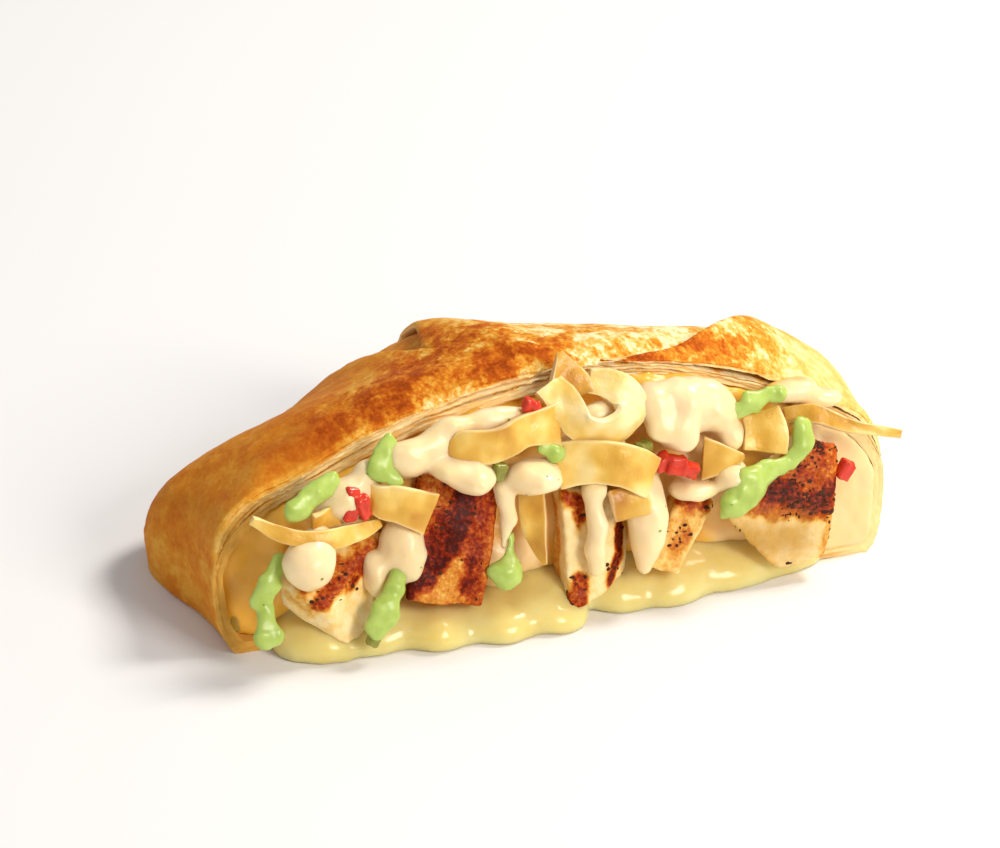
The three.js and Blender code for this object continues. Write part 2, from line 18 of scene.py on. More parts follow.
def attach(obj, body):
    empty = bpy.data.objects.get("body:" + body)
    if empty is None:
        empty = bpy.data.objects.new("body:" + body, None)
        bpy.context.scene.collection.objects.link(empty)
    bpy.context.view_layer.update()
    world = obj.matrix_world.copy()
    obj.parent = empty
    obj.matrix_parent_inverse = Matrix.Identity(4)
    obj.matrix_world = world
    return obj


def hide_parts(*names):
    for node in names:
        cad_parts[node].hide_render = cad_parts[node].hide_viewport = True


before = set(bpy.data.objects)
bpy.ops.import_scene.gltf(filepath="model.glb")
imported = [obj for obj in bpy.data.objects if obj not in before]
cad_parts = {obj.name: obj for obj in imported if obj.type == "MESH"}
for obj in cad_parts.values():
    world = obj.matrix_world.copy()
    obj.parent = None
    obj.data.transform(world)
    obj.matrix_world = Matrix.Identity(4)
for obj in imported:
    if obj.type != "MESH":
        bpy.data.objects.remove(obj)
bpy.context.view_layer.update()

# %% [markdown]
# ## One layout for everything
#
# The pieces are laid out in millimetres as if the cut stood upright: x along the cut, y away from it into
# the wrap, and z up. The real cut leans back a little, so one function leans every point, moves the origin
# under the middle and turns millimetres into metres. All pieces go through it, and so they always fit each
# other.

# %% From layout millimetres to metres
MM = 0.001
LEAN = 0.2  # how far the cut leans back for each millimetre of height
CUT_BACK = 36.0  # from the cut's foot to the origin


def settle(points):
    """Layout millimetres to the frame's metres."""
    placed = np.array(points, dtype=float)
    placed[:, 1] += LEAN * placed[:, 2] - CUT_BACK
    return placed * MM


def per_mm(size):
    """The scale of a texture whose features are `size` millimetres wide, on coordinates in metres."""
    return 1.0 / (size * MM)


print("50 mm up the cut is", settle([[0, 0, 50]])[0].tolist(), "in metres")


# %% Make objects from arrays of points and faces
def new_object(name, data):
    """An object of a mesh, light or camera, placed in the scene."""
    made = bpy.data.objects.new(name, data)
    bpy.context.scene.collection.objects.link(made)
    return made


def mark(mesh, name, values):
    """Keeps a value for each point of a mesh, which materials and node trees read by its name."""
    layer = mesh.attributes.new(name, "FLOAT", "POINT")
    layer.data.foreach_set("value", np.asarray(values, dtype=np.float32))


def mesh_piece(name, points, faces, marks=(), sharp=None):
    """A smooth mesh object with its marks. Edges of more than `sharp` degrees are shown as edges."""
    mesh = bpy.data.meshes.new(name)
    mesh.vertices.add(len(points))
    mesh.vertices.foreach_set("co", settle(points).ravel())
    mesh.loops.add(faces.size)
    mesh.loops.foreach_set("vertex_index", faces.ravel().astype(np.int32))
    mesh.polygons.add(len(faces))
    mesh.polygons.foreach_set("loop_start", np.arange(0, faces.size, faces.shape[1], dtype=np.int32))
    mesh.polygons.foreach_set("use_smooth", np.ones(len(faces), dtype=bool))
    mesh.update(calc_edges=True)
    for key, values in dict(marks).items():
        mark(mesh, key, values)
    if sharp:
        mesh.set_sharp_from_angle(angle=math.radians(sharp))
    return new_object(name, mesh)


# %% Say what a finished piece is
def dress(piece, material, slot, *nodes):
    """Gives a piece its material, lets it ride on the only body and stand for its CAD nodes. slot is not
    used.
    """
    piece.data.materials.clear()
    piece.data.materials.append(material)
    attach(piece, "root")
    if nodes:
        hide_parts(*nodes)
    print(f"{piece.name}: {sum(len(f.vertices) - 2 for f in piece.data.polygons)} triangles")
    return piece


# %% Smooth, repeatable unevenness
LATTICE_SIZE = 40
LATTICE = np.random.default_rng(11).random((LATTICE_SIZE,) * 3) * 2 - 1
SEED_STEP = np.array([7.3, 3.1, 11.7])  # each seed looks at another part of the lattice


def rough(points, size, seed=0):
    """Smooth noise from -1 to 1 at points in mm. Its bumps are `size` wide, which may differ by axis."""
    spot = np.asarray(points) / size + SEED_STEP * (seed + 1)
    cell = np.floor(spot).astype(int)
    part = spot - cell
    part = part * part * (3 - 2 * part)
    total = np.zeros(spot.shape[:-1])
    for corner in np.ndindex(2, 2, 2):
        at = (cell + corner) % LATTICE_SIZE
        share = np.prod(np.where(corner, part, 1 - part), axis=-1)
        total += share * LATTICE[at[..., 0], at[..., 1], at[..., 2]]
    return total


def rise(low, high, value):
    """0 below low, 1 above high, and a smooth rise between them."""
    share = np.clip((value - low) / (high - low), 0, 1)
    return share * share * (3 - 2 * share)


def fade(value, wide):
    """1 where a value is 0, fading smoothly to nothing on both sides, mostly within `wide`."""
    return np.exp(-((value / wide) ** 2))


print("noise at three places:", rough([[0, 0, 0], [5, 0, 0], [10, 0, 0]], 10).round(2).tolist())

# %% [markdown]
# ## Camera
#
# The camera looks down on the cut from a little to the left, through a long lens, as for a picture on a
# menu. A short lens would have to come near, and would draw the near end of the wrap out.

# %% Camera
EYE = Vector((-368.5, -967.1, 558.8)) * MM
AIM = Vector((0.0, 0.0, 24.0)) * MM
LENS = 198.5
ROLL = 1.32  # degrees

lens = bpy.data.cameras.new("camera")
lens.lens = LENS
lens.sensor_width = 36.0
lens.clip_start = 0.05
camera = new_object("camera", lens)
camera.location = EYE
camera.rotation_mode = "QUATERNION"
camera.rotation_quaternion = (AIM - EYE).to_track_quat("-Z", "Y") @ Quaternion((0, 0, 1), math.radians(ROLL))
bpy.context.scene.camera = camera
print("camera:", round((AIM - EYE).length, 3), "m away")

# %% [markdown]
# ## Colours and shader nodes
#
# Every material here is one Principled shader with a painted colour and, mostly, a bump. The painting is
# done by nodes: noise of a size given in mm, ramps and mixes of colours, and the marks that the meshes
# carry. Pictures could be laid over the pieces instead, but they need an unwrapped surface and blur when
# the camera comes near. A few small functions, each of which adds one node and returns its output, keep
# such a tree as short as a formula.


# %% Add a node with its settings
def linear(hex_colour):
    """An sRGB hex colour as the linear RGBA that shaders use."""
    parts = [int(hex_colour[i : i + 2], 16) / 255 for i in (1, 3, 5)]
    return (*(p / 12.92 if p <= 0.04045 else ((p + 0.055) / 1.055) ** 2.4 for p in parts), 1.0)


def add(tree, kind, inputs=(), **settings):
    """Adds a node with its settings. inputs gives a socket a value, or another node's output to link."""
    made = tree.nodes.new(kind)
    for name, value in settings.items():
        setattr(made, name, value)
    for socket, value in dict(inputs).items():
        if isinstance(value, bpy.types.NodeSocket):
            tree.links.new(value, made.inputs[socket])
        else:
            made.inputs[socket].default_value = value
    return made


def output(tree, kind, inputs=(), **settings):
    """Adds a node in the same way and returns its first output."""
    return add(tree, kind, inputs, **settings).outputs[0]


print("a golden brown, #d9963a, in linear light:", [round(part, 3) for part in linear("#d9963a")])


# %% Nodes that calculate and paint
def noise(tree, coords, size, detail, roughness=0.5):
    """Noise from 0 to 1 whose features are `size` mm wide."""
    inputs = {"Vector": coords, "Scale": per_mm(size), "Detail": detail, "Roughness": roughness}
    return output(tree, "ShaderNodeTexNoise", inputs)


def calc(tree, operation, *values):
    """One step of arithmetic with numbers and outputs."""
    return output(tree, "ShaderNodeMath", dict(enumerate(values)), operation=operation)


def stretched(tree, value, low, high, top=1.0):
    """A value's range from low to high, drawn out to the range from 0 to `top`."""
    spread = {"Value": value, "From Min": low, "From Max": high, "To Max": top}
    return output(tree, "ShaderNodeMapRange", spread)


def mark_at(tree, name):
    """What a mark of the mesh says at each spot."""
    return add(tree, "ShaderNodeAttribute", attribute_name=name).outputs["Fac"]


def between(tree, share, *colours):
    """A mix of two colours, each a hex colour or an output."""
    first, second = (linear(c) if isinstance(c, str) else c for c in colours)
    return add(tree, "ShaderNodeMix", {0: share, 6: first, 7: second}, data_type="RGBA").outputs[2]


def ramped(tree, value, stops):
    """A value turned to a colour by a ramp with stops of (value, hex colour)."""
    ramp = add(tree, "ShaderNodeValToRGB", {"Fac": value})
    for at, _ in stops[1:-1]:
        ramp.color_ramp.elements.new(at)
    for element, (at, colour) in zip(ramp.color_ramp.elements, stops):
        element.position = at
        element.color = linear(colour)
    return ramp.outputs[0]


def bumps(tree, height, distance, strength):
    """The normal of a surface with relief of `distance` mm."""
    return output(tree, "ShaderNodeBump", {"Height": height, "Distance": distance * MM, "Strength": strength})


# %% A material of one Principled shader
SOCKETS = dict(roughness="Roughness", ior="IOR", specular="Specular IOR Level")


def material(name, paint, scatter=None, **settings):
    """A material whose colour and normal come from paint(tree, coords). scatter says how much light goes
    under the surface, how far red, green and blue spread there, and the longest way in mm."""
    made = bpy.data.materials.new(name)
    made.use_nodes = True
    tree = made.node_tree
    tree.nodes.clear()
    colour, normal = paint(tree, add(tree, "ShaderNodeTexCoord").outputs["Object"])
    inputs = {"Base Color": colour, **{SOCKETS[key]: value for key, value in settings.items()}}
    if normal is not None:
        inputs["Normal"] = normal
    if scatter:
        weight, radius, depth = scatter
        inputs |= {"Subsurface Weight": weight, "Subsurface Radius": radius, "Subsurface Scale": depth * MM}
    add(tree, "ShaderNodeOutputMaterial", {"Surface": output(tree, "ShaderNodeBsdfPrincipled", inputs)})
    return made


def two_tones(dark, light, size, detail, shade_colour=None, grain=None):
    """A way to paint: clouds of two tones, a painted golden shade in its own colour where a mark says so, and
    a fine grain, given by its size, detail, height and strength."""

    def paint(tree, coords):
        colour = between(tree, noise(tree, coords, size, detail), dark, light)
        if shade_colour:
            colour = between(tree, mark_at(tree, "recess_shade"), colour, shade_colour)
        return colour, bumps(tree, noise(tree, coords, *grain[:2]), *grain[2:]) if grain else None

    return paint


# %% [markdown]
# ## Table and light
#
# The table is plain and pale, so that only soft shadows lie on it. The light is a large, slightly warm
# window behind and to the right, which lets the flaps throw soft shadows, with a wide fill from the front
# for the filling, a weak one from the left, and a pale sky. A sky alone would be easier, but it would leave
# the filling flat.

# %% Table
TABLE_HALF = 3.0
PAINT_MOTTLE = 1000 / 3  # mm

# Matt white paint on a smooth board: it shows only soft shadows.
white = material("matt_white_paint", two_tones("#e8e9ed", "#edeef1", PAINT_MOTTLE, 2.0), roughness=0.8)
floor_mesh = bpy.data.meshes.new("table")
table_corners = [(x * TABLE_HALF, y * TABLE_HALF, 0) for x, y in [(-1, -1), (1, -1), (1, 1), (-1, 1)]]
floor_mesh.from_pydata(table_corners, [], [(0, 1, 2, 3)])
floor_mesh.materials.append(white)
floor = new_object("table", floor_mesh)
print("table:", 2 * TABLE_HALF, "m wide")


# %% Light
def window(name, place, size, power, colour):
    """A square area light that faces the food."""
    light = bpy.data.lights.new(name, "AREA")
    light.size = size
    light.energy = power
    light.color = linear(colour)[:3]
    lamp = new_object(name, light)
    lamp.location = place
    lamp.rotation_euler = (AIM - Vector(place)).to_track_quat("-Z", "Y").to_euler()
    print(f"{name}: {power} W from {size} m wide")


window("key", (0.75, 0.1, 1.0), 0.35, 12.0, "#fff8ee")
window("front_fill", (0.55, -1.1, 0.75), 0.5, 12.5, "#fff6ea")
window("left_fill", (-1.0, -0.3, 0.5), 0.8, 0.8, "#fffdf8")
sky = bpy.data.worlds.new("pale_sky")
sky.use_nodes = True
sky.node_tree.nodes["Background"].inputs["Color"].default_value = linear("#fbfaf7")
sky.node_tree.nodes["Background"].inputs["Strength"].default_value = 0.4
bpy.context.scene.world = sky
bpy.context.scene.view_settings.view_transform = "Standard"

# %% [markdown]
# ## The form of the wrap
#
# Pressed on the grill, the folded tortilla becomes a flattened cushion, round at the cut and drawn out to
# thin folded corners behind. A formula gives its surface: `turn` goes round from the right end of the cut
# to the left one, and `tilt` from the top over the widest place to the foot. A few short tables say how the
# form changes with the turn, eased so that no crease shows between their entries.

# %% The wrap's surface
HALF_WIDTH = 74.0
SHELL_TOP = 50.0
LAYER = 2.2  # thickness of the tortilla
CORNERS = [(25, 0.14), (97, 0.18), (150, 0.18)]
CORNER_SPREAD = 12.5
FOOT_ROUNDNESS = 2.2
DEGREES = np.linspace(0, 180, 361)


def eased(knots, spread=4.0):
    """A table of (degrees, value) as a smooth row of values, one for each half degree."""
    plain = np.interp(DEGREES, *zip(*knots))
    wide = 60  # half of the window, in half degrees
    mirrored = np.concatenate([plain[wide:0:-1], plain, plain[-2 : -wide - 2 : -1]])
    weights = np.exp(-((np.arange(-wide, wide + 1) * 0.5 / spread) ** 2) / 2)
    return np.convolve(mirrored, weights / weights.sum(), mode="valid")


WIDEST_Z = eased([(0, 17.5), (30, 16), (60, 9), (150, 7), (180, 17.5)])
FOOT_IN = eased([(0, 0.075), (30, 0.03), (150, 0), (180, 0.075)])
ROUNDNESS = eased([(0, 1.7), (40, 1.6), (110, 1.5), (148, 1.3), (180, 1.7)])
REACH = HALF_WIDTH * (1 + sum(share * fade(DEGREES - at, CORNER_SPREAD) for at, share in CORNERS))


def at_turn(turn):
    """The reach, the widest place's height, how far the foot is in, and the roundness."""
    return (np.interp(turn, DEGREES, table) for table in (REACH, WIDEST_Z, FOOT_IN, ROUNDNESS))


def surface(turn, tilt, out=0.0):
    """Points `out` mm outside the wrap, for arrays of turn and tilt in degrees."""
    reach, widest, foot_in, roundness = at_turn(turn)
    c = np.clip(np.cos(np.radians(tilt)), 0, 1)
    s = np.sin(np.radians(tilt))
    dome = 2 / roundness
    foot = 2 / FOOT_ROUNDNESS
    above = tilt >= 0
    share = np.where(above, c**dome, 1 - foot_in * (1 - c**foot))
    high = widest + (SHELL_TOP - widest) * np.abs(s) ** dome
    height = np.where(above, high, widest * (1 - np.abs(s) ** foot))
    r = reach * share + out * np.where(above, c, 1)
    return np.stack([r * np.cos(np.radians(turn)), r * np.sin(np.radians(turn)), height + out * s], axis=-1)


print("the wrap reaches from", REACH.min().round(1), "to", REACH.max().round(1), "mm from the cut's middle")

# %% [markdown]
# ## The tortilla
#
# A flour tortilla is a sheet of dough about 2 mm thick, here as a pouch and three flaps folded over it. A
# folded sheet could be simulated as cloth, but a grilled one is stiff and its folds are known, so every
# sheet is built: two grids of points, its outer and its inner side, joined all round by a wall. The wall at
# the cut gets rows of its own, so that the dough can be ragged there.
#
# Toasted blisters are real relief, from noise of three sizes. Where a knife has gone through, the dough is
# torn: its edge wanders in and out by some tenths of a millimetre, and each sheet splits here and there
# along its middle, as baked dough does between its two crusts.


# %% A closed slab between two grids of points
def graded(count, ends=0.05, fineness=0.65):
    """Numbers from 0 to 1, closer together near both ends."""
    middle = np.linspace(0, 1, count)
    steps = 1 - fineness * (fade(middle, ends) + fade(1 - middle, ends))
    places = np.concatenate([[0], np.cumsum(steps[1:] + steps[:-1])])
    return places / places[-1]


def slab(over, under, rows):
    """Joins two grids, seen counter-clockwise from outside, by a wall of `rows` rows. Returns the points, the
    faces, how deep each point is, from 0 outside to 1 inside, and whether it is on the wall."""
    high, wide = over.shape[:2]
    index = np.arange(high * wide).reshape(high, wide)
    faces = np.stack([index[:-1, :-1], index[1:, :-1], index[1:, 1:], index[:-1, 1:]], axis=-1).reshape(-1, 4)
    below = high * wide
    rim = np.concatenate([index[0, :-1], index[:-1, -1], index[-1, :0:-1], index[:0:-1, 0]])
    top, bottom = over.reshape(-1, 3), under.reshape(-1, 3)
    levels = np.linspace(0, 1, rows + 1)
    wall = [top[rim] * (1 - t) + bottom[rim] * t for t in levels[1:-1]]
    first = 2 * below
    loops = [rim, *[first + len(rim) * i + np.arange(len(rim)) for i in range(rows - 1)], rim + below]
    sides = [np.stack([a, np.roll(a, -1), np.roll(b, -1), b], axis=-1) for a, b in zip(loops, loops[1:])]
    points = np.concatenate([top, bottom, *wall])
    depth = np.concatenate([np.zeros(below), np.ones(below), *[np.full(len(rim), t) for t in levels[1:-1]]])
    on_wall = np.concatenate([np.zeros(2 * below), np.ones(len(rim) * (rows - 1))])
    on_wall[rim] = on_wall[rim + below] = 1
    return points, np.concatenate([faces, faces[:, ::-1] + below, *sides]), depth, on_wall


print("six graded numbers:", graded(6).round(2).tolist())


# %% Blisters and the ragged cut
BLISTERS = [(9.0, 0.30), (4.0, 0.16), (1.7, 0.07)]  # width and height, mm
TORN = 0.9  # how far from the cut the dough is torn, mm


def blistered(points, seed):
    """How far the dough is lifted at each point, in mm."""
    return sum(high * rough(points, wide, seed + i) for i, (wide, high) in enumerate(BLISTERS))


def ragged(points, depth, on_wall, seed):
    """Tears the points at the cut, in place. Returns how near each is to the cut, and how far it is split."""
    near = fade(points[:, 1], TORN) * rise(-1, 0.5, points[:, 1] + 0.8)
    push = 0.26 * rough(points, (1.6, 50, 0.6), seed) + 0.2 * rough(points, (0.6, 50, 0.35), seed + 1)
    wander = 0.5 + 0.3 * rough(points, (9, 50, 50), seed + 2)
    split = on_wall * fade(depth - wander, 0.11)
    split = split * rise(-0.5, 0.1, rough(points, (6, 50, 50), seed + 3))
    points[:, 1] += near * (push + 0.15 * on_wall + 0.5 * split)
    return near * on_wall, split


print("blisters rise by up to", round(sum(high for _, high in BLISTERS), 2), "mm")


# %% The pouch
POUCH_TILTS = np.concatenate([np.linspace(89.4, 2, 74), np.linspace(0, -88, 34)])
POUCH_FLOOR = np.linspace(1, 0.002, 26)  # shares of the foot's outline, inwards to the middle
POUCH_SEED = 20


def side_of_pouch(turns, out):
    """The grid of one side of the pouch, from its top over its side and foot to the middle of its floor."""
    grid_turn, grid_tilt = np.meshgrid(turns, POUCH_TILTS, indexing="ij")
    dome = surface(grid_turn, grid_tilt, 0)
    lift = blistered(dome, POUCH_SEED) * rise(-85, -60, grid_tilt)
    dome = surface(grid_turn, grid_tilt, out + lift)
    foot = surface(turns, np.full(len(turns), -90.0), out)
    floor_part = foot[:, None, :] * POUCH_FLOOR[None, :, None]
    floor_part[..., 2] = foot[:, None, 2]
    return np.concatenate([dome, floor_part], axis=1)


pouch_turns = 180 * graded(230, ends=0.07, fineness=0.75)
pouch_over = side_of_pouch(pouch_turns, 0.0)
pouch_under = side_of_pouch(pouch_turns, -LAYER)
pouch_over[..., 2] = np.maximum(pouch_over[..., 2], 0)
print("pouch grid:", pouch_over.shape)

# %% [markdown]
# ## The flaps
#
# Three sides of the tortilla are folded over the top, one over the other. Each flap is a fan of lines from
# its tip, in the middle of the cut, out to the side of the wrap, and its free edge is a smooth curve seen
# from above. The fan is laid out on the dome unrolled to a disc, where a line over the top is as easy to
# draw as one down the side, and then rolled back. A flap thins out at its free edge, lifts a little there,
# and grows out of the pouch at the other end, so no seam shows.

# %% The flaps' edges, seen from above
# Each edge runs from the middle of the cut over the top and down the side, out past the wrap.
EDGES = {
    "left": [(7, 0), (6.5, 2), (-6, 13.5), (-15.5, 26), (-20.5, 41), (-26, 56), (-36, 86)],
    "back": [(4, 0), (3.5, 4), (-8, 16), (-14.5, 31), (-12.5, 43), (-9, 58), (-4, 96)],
    "right": [(11, 0), (19, 1.8), (30, 5.5), (43, 15), (53, 25), (66, 38), (92, 62)],
}


def evenly(line, shares):
    """Points of a line at shares of its length."""
    length = np.concatenate([[0], np.cumsum(np.linalg.norm(np.diff(line, axis=0), axis=1))])
    return np.stack([np.interp(shares * length[-1], length, values) for values in line.T], axis=1)


def smooth_line(knots, count):
    """A Catmull-Rom curve through the knots, as `count` evenly spaced points."""
    knots = np.array(knots, dtype=float)
    ends = np.concatenate([[2 * knots[0] - knots[1]], knots, [2 * knots[-1] - knots[-2]]])
    t = np.linspace(0, 1, 24, endpoint=False)[:, None]
    parts = []
    for a, b, c, d in zip(ends, ends[1:], ends[2:], ends[3:]):
        square, cube = 2 * a - 5 * b + 4 * c - d, 3 * b - a - 3 * c + d
        parts.append(0.5 * (2 * b + (c - a) * t + square * t**2 + cube * t**3))
    return evenly(np.concatenate([*parts, knots[-1:]]), np.linspace(0, 1, count))


def unrolled(plan):
    """Points seen from above, laid on the dome unrolled to a disc of radius 1 with the top in its middle."""
    turn = np.degrees(np.arctan2(plan[:, 1], plan[:, 0]))
    share = np.hypot(plan[:, 0], plan[:, 1]) / np.interp(turn, DEGREES, REACH)
    c = np.clip(share, 0, 1) ** (np.interp(turn, DEGREES, ROUNDNESS) / 2)
    rho = 1 - np.degrees(np.arccos(c)) / 90
    return np.stack([rho * np.cos(np.radians(turn)), rho * np.sin(np.radians(turn))], axis=1)


half_back = np.array([[0.0, HALF_WIDTH / 2]])
print("halfway to the back is", unrolled(half_back)[0].round(2).tolist(), "on the unrolled disc")


# %% A flap: a fan of lines from its tip at the cut out to the side
FLAP_END = 0.985  # how far round the dome a flap reaches
LIP = {"wide": 10.0, "from": 25.0, "full": 55.0}  # how wide it is, and how far from the tip it begins, mm
FLAP_POINTS = 150  # along and across a flap
SINK = 0.08  # how far a flap starts inside the pouch, mm


def flap_grid(edge, side):
    """The flap's grid on the unrolled dome: from its tip outwards, and from its free edge to the cut."""
    free = unrolled(smooth_line(EDGES[edge], 400))
    radius = np.hypot(free[:, 0], free[:, 1])
    inside = radius < FLAP_END
    free = free[: int(np.argmin(inside)) if not inside.all() else len(free)]
    t = np.linspace(0.004, 1, FLAP_POINTS)
    free = evenly(free, t)
    s = graded(FLAP_POINTS, ends=0.06, fineness=0.75)
    last = math.degrees(math.atan2(free[-1, 1], free[-1, 0]))
    angle = np.radians(last + (side - last) * s)
    rim = np.stack([np.cos(angle), np.sin(angle)], axis=1) * np.hypot(*free[-1])
    tip = free[0] * np.array([1, 0])
    ray = tip + (rim[None] - tip) * t[:, None, None]
    bend = free - (tip + (free[-1] - tip) * t[:, None])
    grid = ray + bend[:, None] * ((1 - s) ** 1.5)[None, :, None]
    grid[..., 1] = np.maximum(grid[..., 1], 0)
    return grid[:, ::-1] if side == 0 else grid


def flap(edge, side, low, high, lip, seed, opening=0.0, puff=(0, 0, 10, 0)):
    """The outer and inner grids of one sheet, from `low` to `high` mm outside the pouch. lip is how far its
    free edge lifts, opening how far it gapes at the cut, and puff a swelling: x, y, width and height."""
    grid = flap_grid(edge, side)
    rho = np.hypot(grid[..., 0], grid[..., 1])
    turn = np.degrees(np.arctan2(grid[..., 1], grid[..., 0]))
    tilt = 90 * (1 - rho)
    bare = surface(turn, tilt)
    x, y = bare[..., 0], bare[..., 1]
    line = smooth_line(EDGES[edge], 500)
    gap = np.min(np.hypot(bare[..., 0:1] - line[:, 0], bare[..., 1:2] - line[:, 1]), axis=-1)
    lifted = lip * fade(gap, LIP["wide"]) * rise(LIP["from"], LIP["full"], np.hypot(x, y))
    grown = rise(2, 24, tilt)
    lift = blistered(bare, POUCH_SEED) * (1 - 0.6 * grown) + blistered(bare, seed) * 0.9 * grown
    taper = np.clip(gap / 1.1, 0.02, 1)
    thin = np.sqrt(taper * (2 - taper)) * (0.3 + 0.7 * rise(0, 10, np.hypot(x - line[0, 0], y)))
    middle, half = (low + high) / 2, (high - low) / 2
    gape = opening * rise(46, 58, x) * (0.7 + 0.5 * rough(bare, 6, seed)) * np.exp(-y / 5)
    gape = gape + 0.2 * (rough(bare, (7, 20, 20), seed + 4) - 0.1) * np.exp(-y / 3) * (low > 1)
    puff_x, puff_y, puff_wide, puff_high = puff
    puffed = puff_high * np.exp(-(((x - puff_x) ** 2 + (y - puff_y) ** 2) / puff_wide**2))
    raised = (lifted + gape + puffed) * grown
    over = surface(turn, tilt, -SINK + (middle + half * thin + SINK) * grown + raised + lift)
    under = surface(turn, tilt, -0.4 + (middle - half * thin + 0.4) * grown + raised + lift * 0.8)
    return over, under


# %% [markdown]
# ## What the knife does
#
# A knife presses the wrap down before it goes through. The top edge of the cut is lower than the wrap
# behind it, so that more of the toasted top shows from the front, and the stack of sheets is squeezed where
# the filling gives way. The crust of the topmost sheets is drawn a little over the cut and hides their
# crumb.

# %% Press the edge and make the sheets
PRESSED = 3.2  # how far the knife has pressed the top edge of the cut down, mm
SQUEEZED = 0.42  # by what share it has thinned the stack of sheets on the right
PRESS_REACH = 7.0  # how far behind the cut that is felt, mm
ROLLED = {"tortilla_flap_left": 1.0, "tortilla_flap_right": 0.9}  # how far down its wall a crust is drawn
LIFT_SCALE = 0.4  # the blisters' height where their mark is 1, mm


def pressed(points, above=0.0):
    """Lowers points near the top edge of the cut, in place. above is how far each is over the filling."""
    x, y, z = points.T
    near = fade(np.maximum(y, 0), PRESS_REACH) * rise(-10, -2, y)
    left = rise(-70, -56, x) * rise(24, -8, x) * rise(24, 40, z)
    right = rise(4, 18, x) * rise(72, 58, x)
    points[:, 2] -= near * (PRESSED * left + SQUEEZED * right * above)


def tortilla_piece(name, over, under, seed, rows, low=-LAYER, high=0.0):
    """One sheet of dough as a mesh object with its marks, and its points."""
    points, faces, depth, on_wall = slab(over, under, rows)
    above = high - (high - low) * depth + LAYER
    lift = blistered(points, seed)
    cut, split = ragged(points, depth, on_wall, seed)
    rolled = ROLLED.get(name)
    if rolled:
        bend = fade(points[:, 1], TORN) * (1 - depth) ** 2
        points[:, 1] += 0.8 * bend
        points[:, 2] -= 0.5 * bend
        depth = rise(rolled - 0.3, rolled, depth)
        cut, split = cut * depth, split * depth
    pressed(points, above)
    marks = {"cut": cut, "depth": depth, "split": split, "lift": lift / LIFT_SCALE}
    points[:, 2] = np.maximum(points[:, 2], 0)
    return mesh_piece(name, points, faces, marks, sharp=48), points


FLAPS = {
    "tortilla_flap_back": dict(edge="back", side=0, low=0.15, high=1.8, lip=0.8, seed=40),
    "tortilla_flap_left_inner": dict(edge="left", side=180, low=0.1, high=1.6, lip=1.0, seed=50),
    "tortilla_flap_left": dict(edge="left", side=180, low=1.6, high=3.3, lip=1.0, seed=60),
    "tortilla_flap_right": dict(
        edge="right", side=0, low=2.15, high=4.0, lip=1.2, seed=70, opening=0.6, puff=(44, 14, 13, 2.2)
    ),
}
sheets = {"tortilla_pouch": tortilla_piece("tortilla_pouch", pouch_over, pouch_under, POUCH_SEED, 12)}
for name, facts in FLAPS.items():
    over, under = flap(**facts)
    sheets[name] = tortilla_piece(name, over, under, facts["seed"], 10, facts["low"], facts["high"])
    print(name, over.shape)

# %% [markdown]
# ## What the grill does
#
# Baked dough is pale and matt, and it browns first where a blister touched the hot plate. The colour comes
# from a ramp between pale and dark brown. Its place on the ramp is the sum of how toasted a mark says the
# spot is, the blisters' own height, and noise of three sizes, which makes blotches, freckles and pores.
# Inside, the crumb is pale and drawn out along the sheet, with a brown crust on both sides and a painted
# shade in its splits. Low down at the left end of the cut, a golden-brown shade is painted on the crumb, and
# low down at the right end cream has soaked in.

# %% Tortilla material
TOASTING = [
    (0.0, "#fbe7b8"), (0.14, "#f3cf80"), (0.3, "#e5a843"), (0.46, "#d98827"), (0.62, "#c96b1c"),
    (0.8, "#b45214"), (1.0, "#94400f"),
]
BLOTCHES = [(7.0, 0.08, 0.17), (2.4, 0.11, 0.13), (0.8, 0.18, 0.12)]  # size in mm, softness, weight
BLOTCH_SHAPE = (1.0, 0.6, 1.0)  # drawn out from front to back
CRUMB_SIZE = 0.8  # mm
CRUMB_DRAWN = (0.2, 0.0, 0.2)  # long along the cut and up it
CRUMB_ACROSS = 2.6  # how far the noise runs across a sheet, mm


def toasted(tree, coords):
    """The outer side: blotches of three sizes round what the mark `toast` says."""
    drawn = output(tree, "ShaderNodeVectorMath", {0: coords, 1: BLOTCH_SHAPE}, operation="MULTIPLY")
    total = 0.0
    for size, soft, weight in BLOTCHES:
        spread = {"From Min": 0.5 - soft, "From Max": 0.5 + soft, "To Min": -1.0, "To Max": 1.0}
        spread["Value"] = noise(tree, drawn, size, 4.0, 0.62)
        spots = output(tree, "ShaderNodeMapRange", spread, interpolation_type="SMOOTHSTEP")
        total = calc(tree, "MULTIPLY_ADD", spots, weight, total)
    level = calc(tree, "MULTIPLY_ADD", mark_at(tree, "lift"), 0.1, total)
    level = calc(tree, "MULTIPLY_ADD", level, mark_at(tree, "mottle"), mark_at(tree, "toast"))
    return ramped(tree, level, TOASTING)


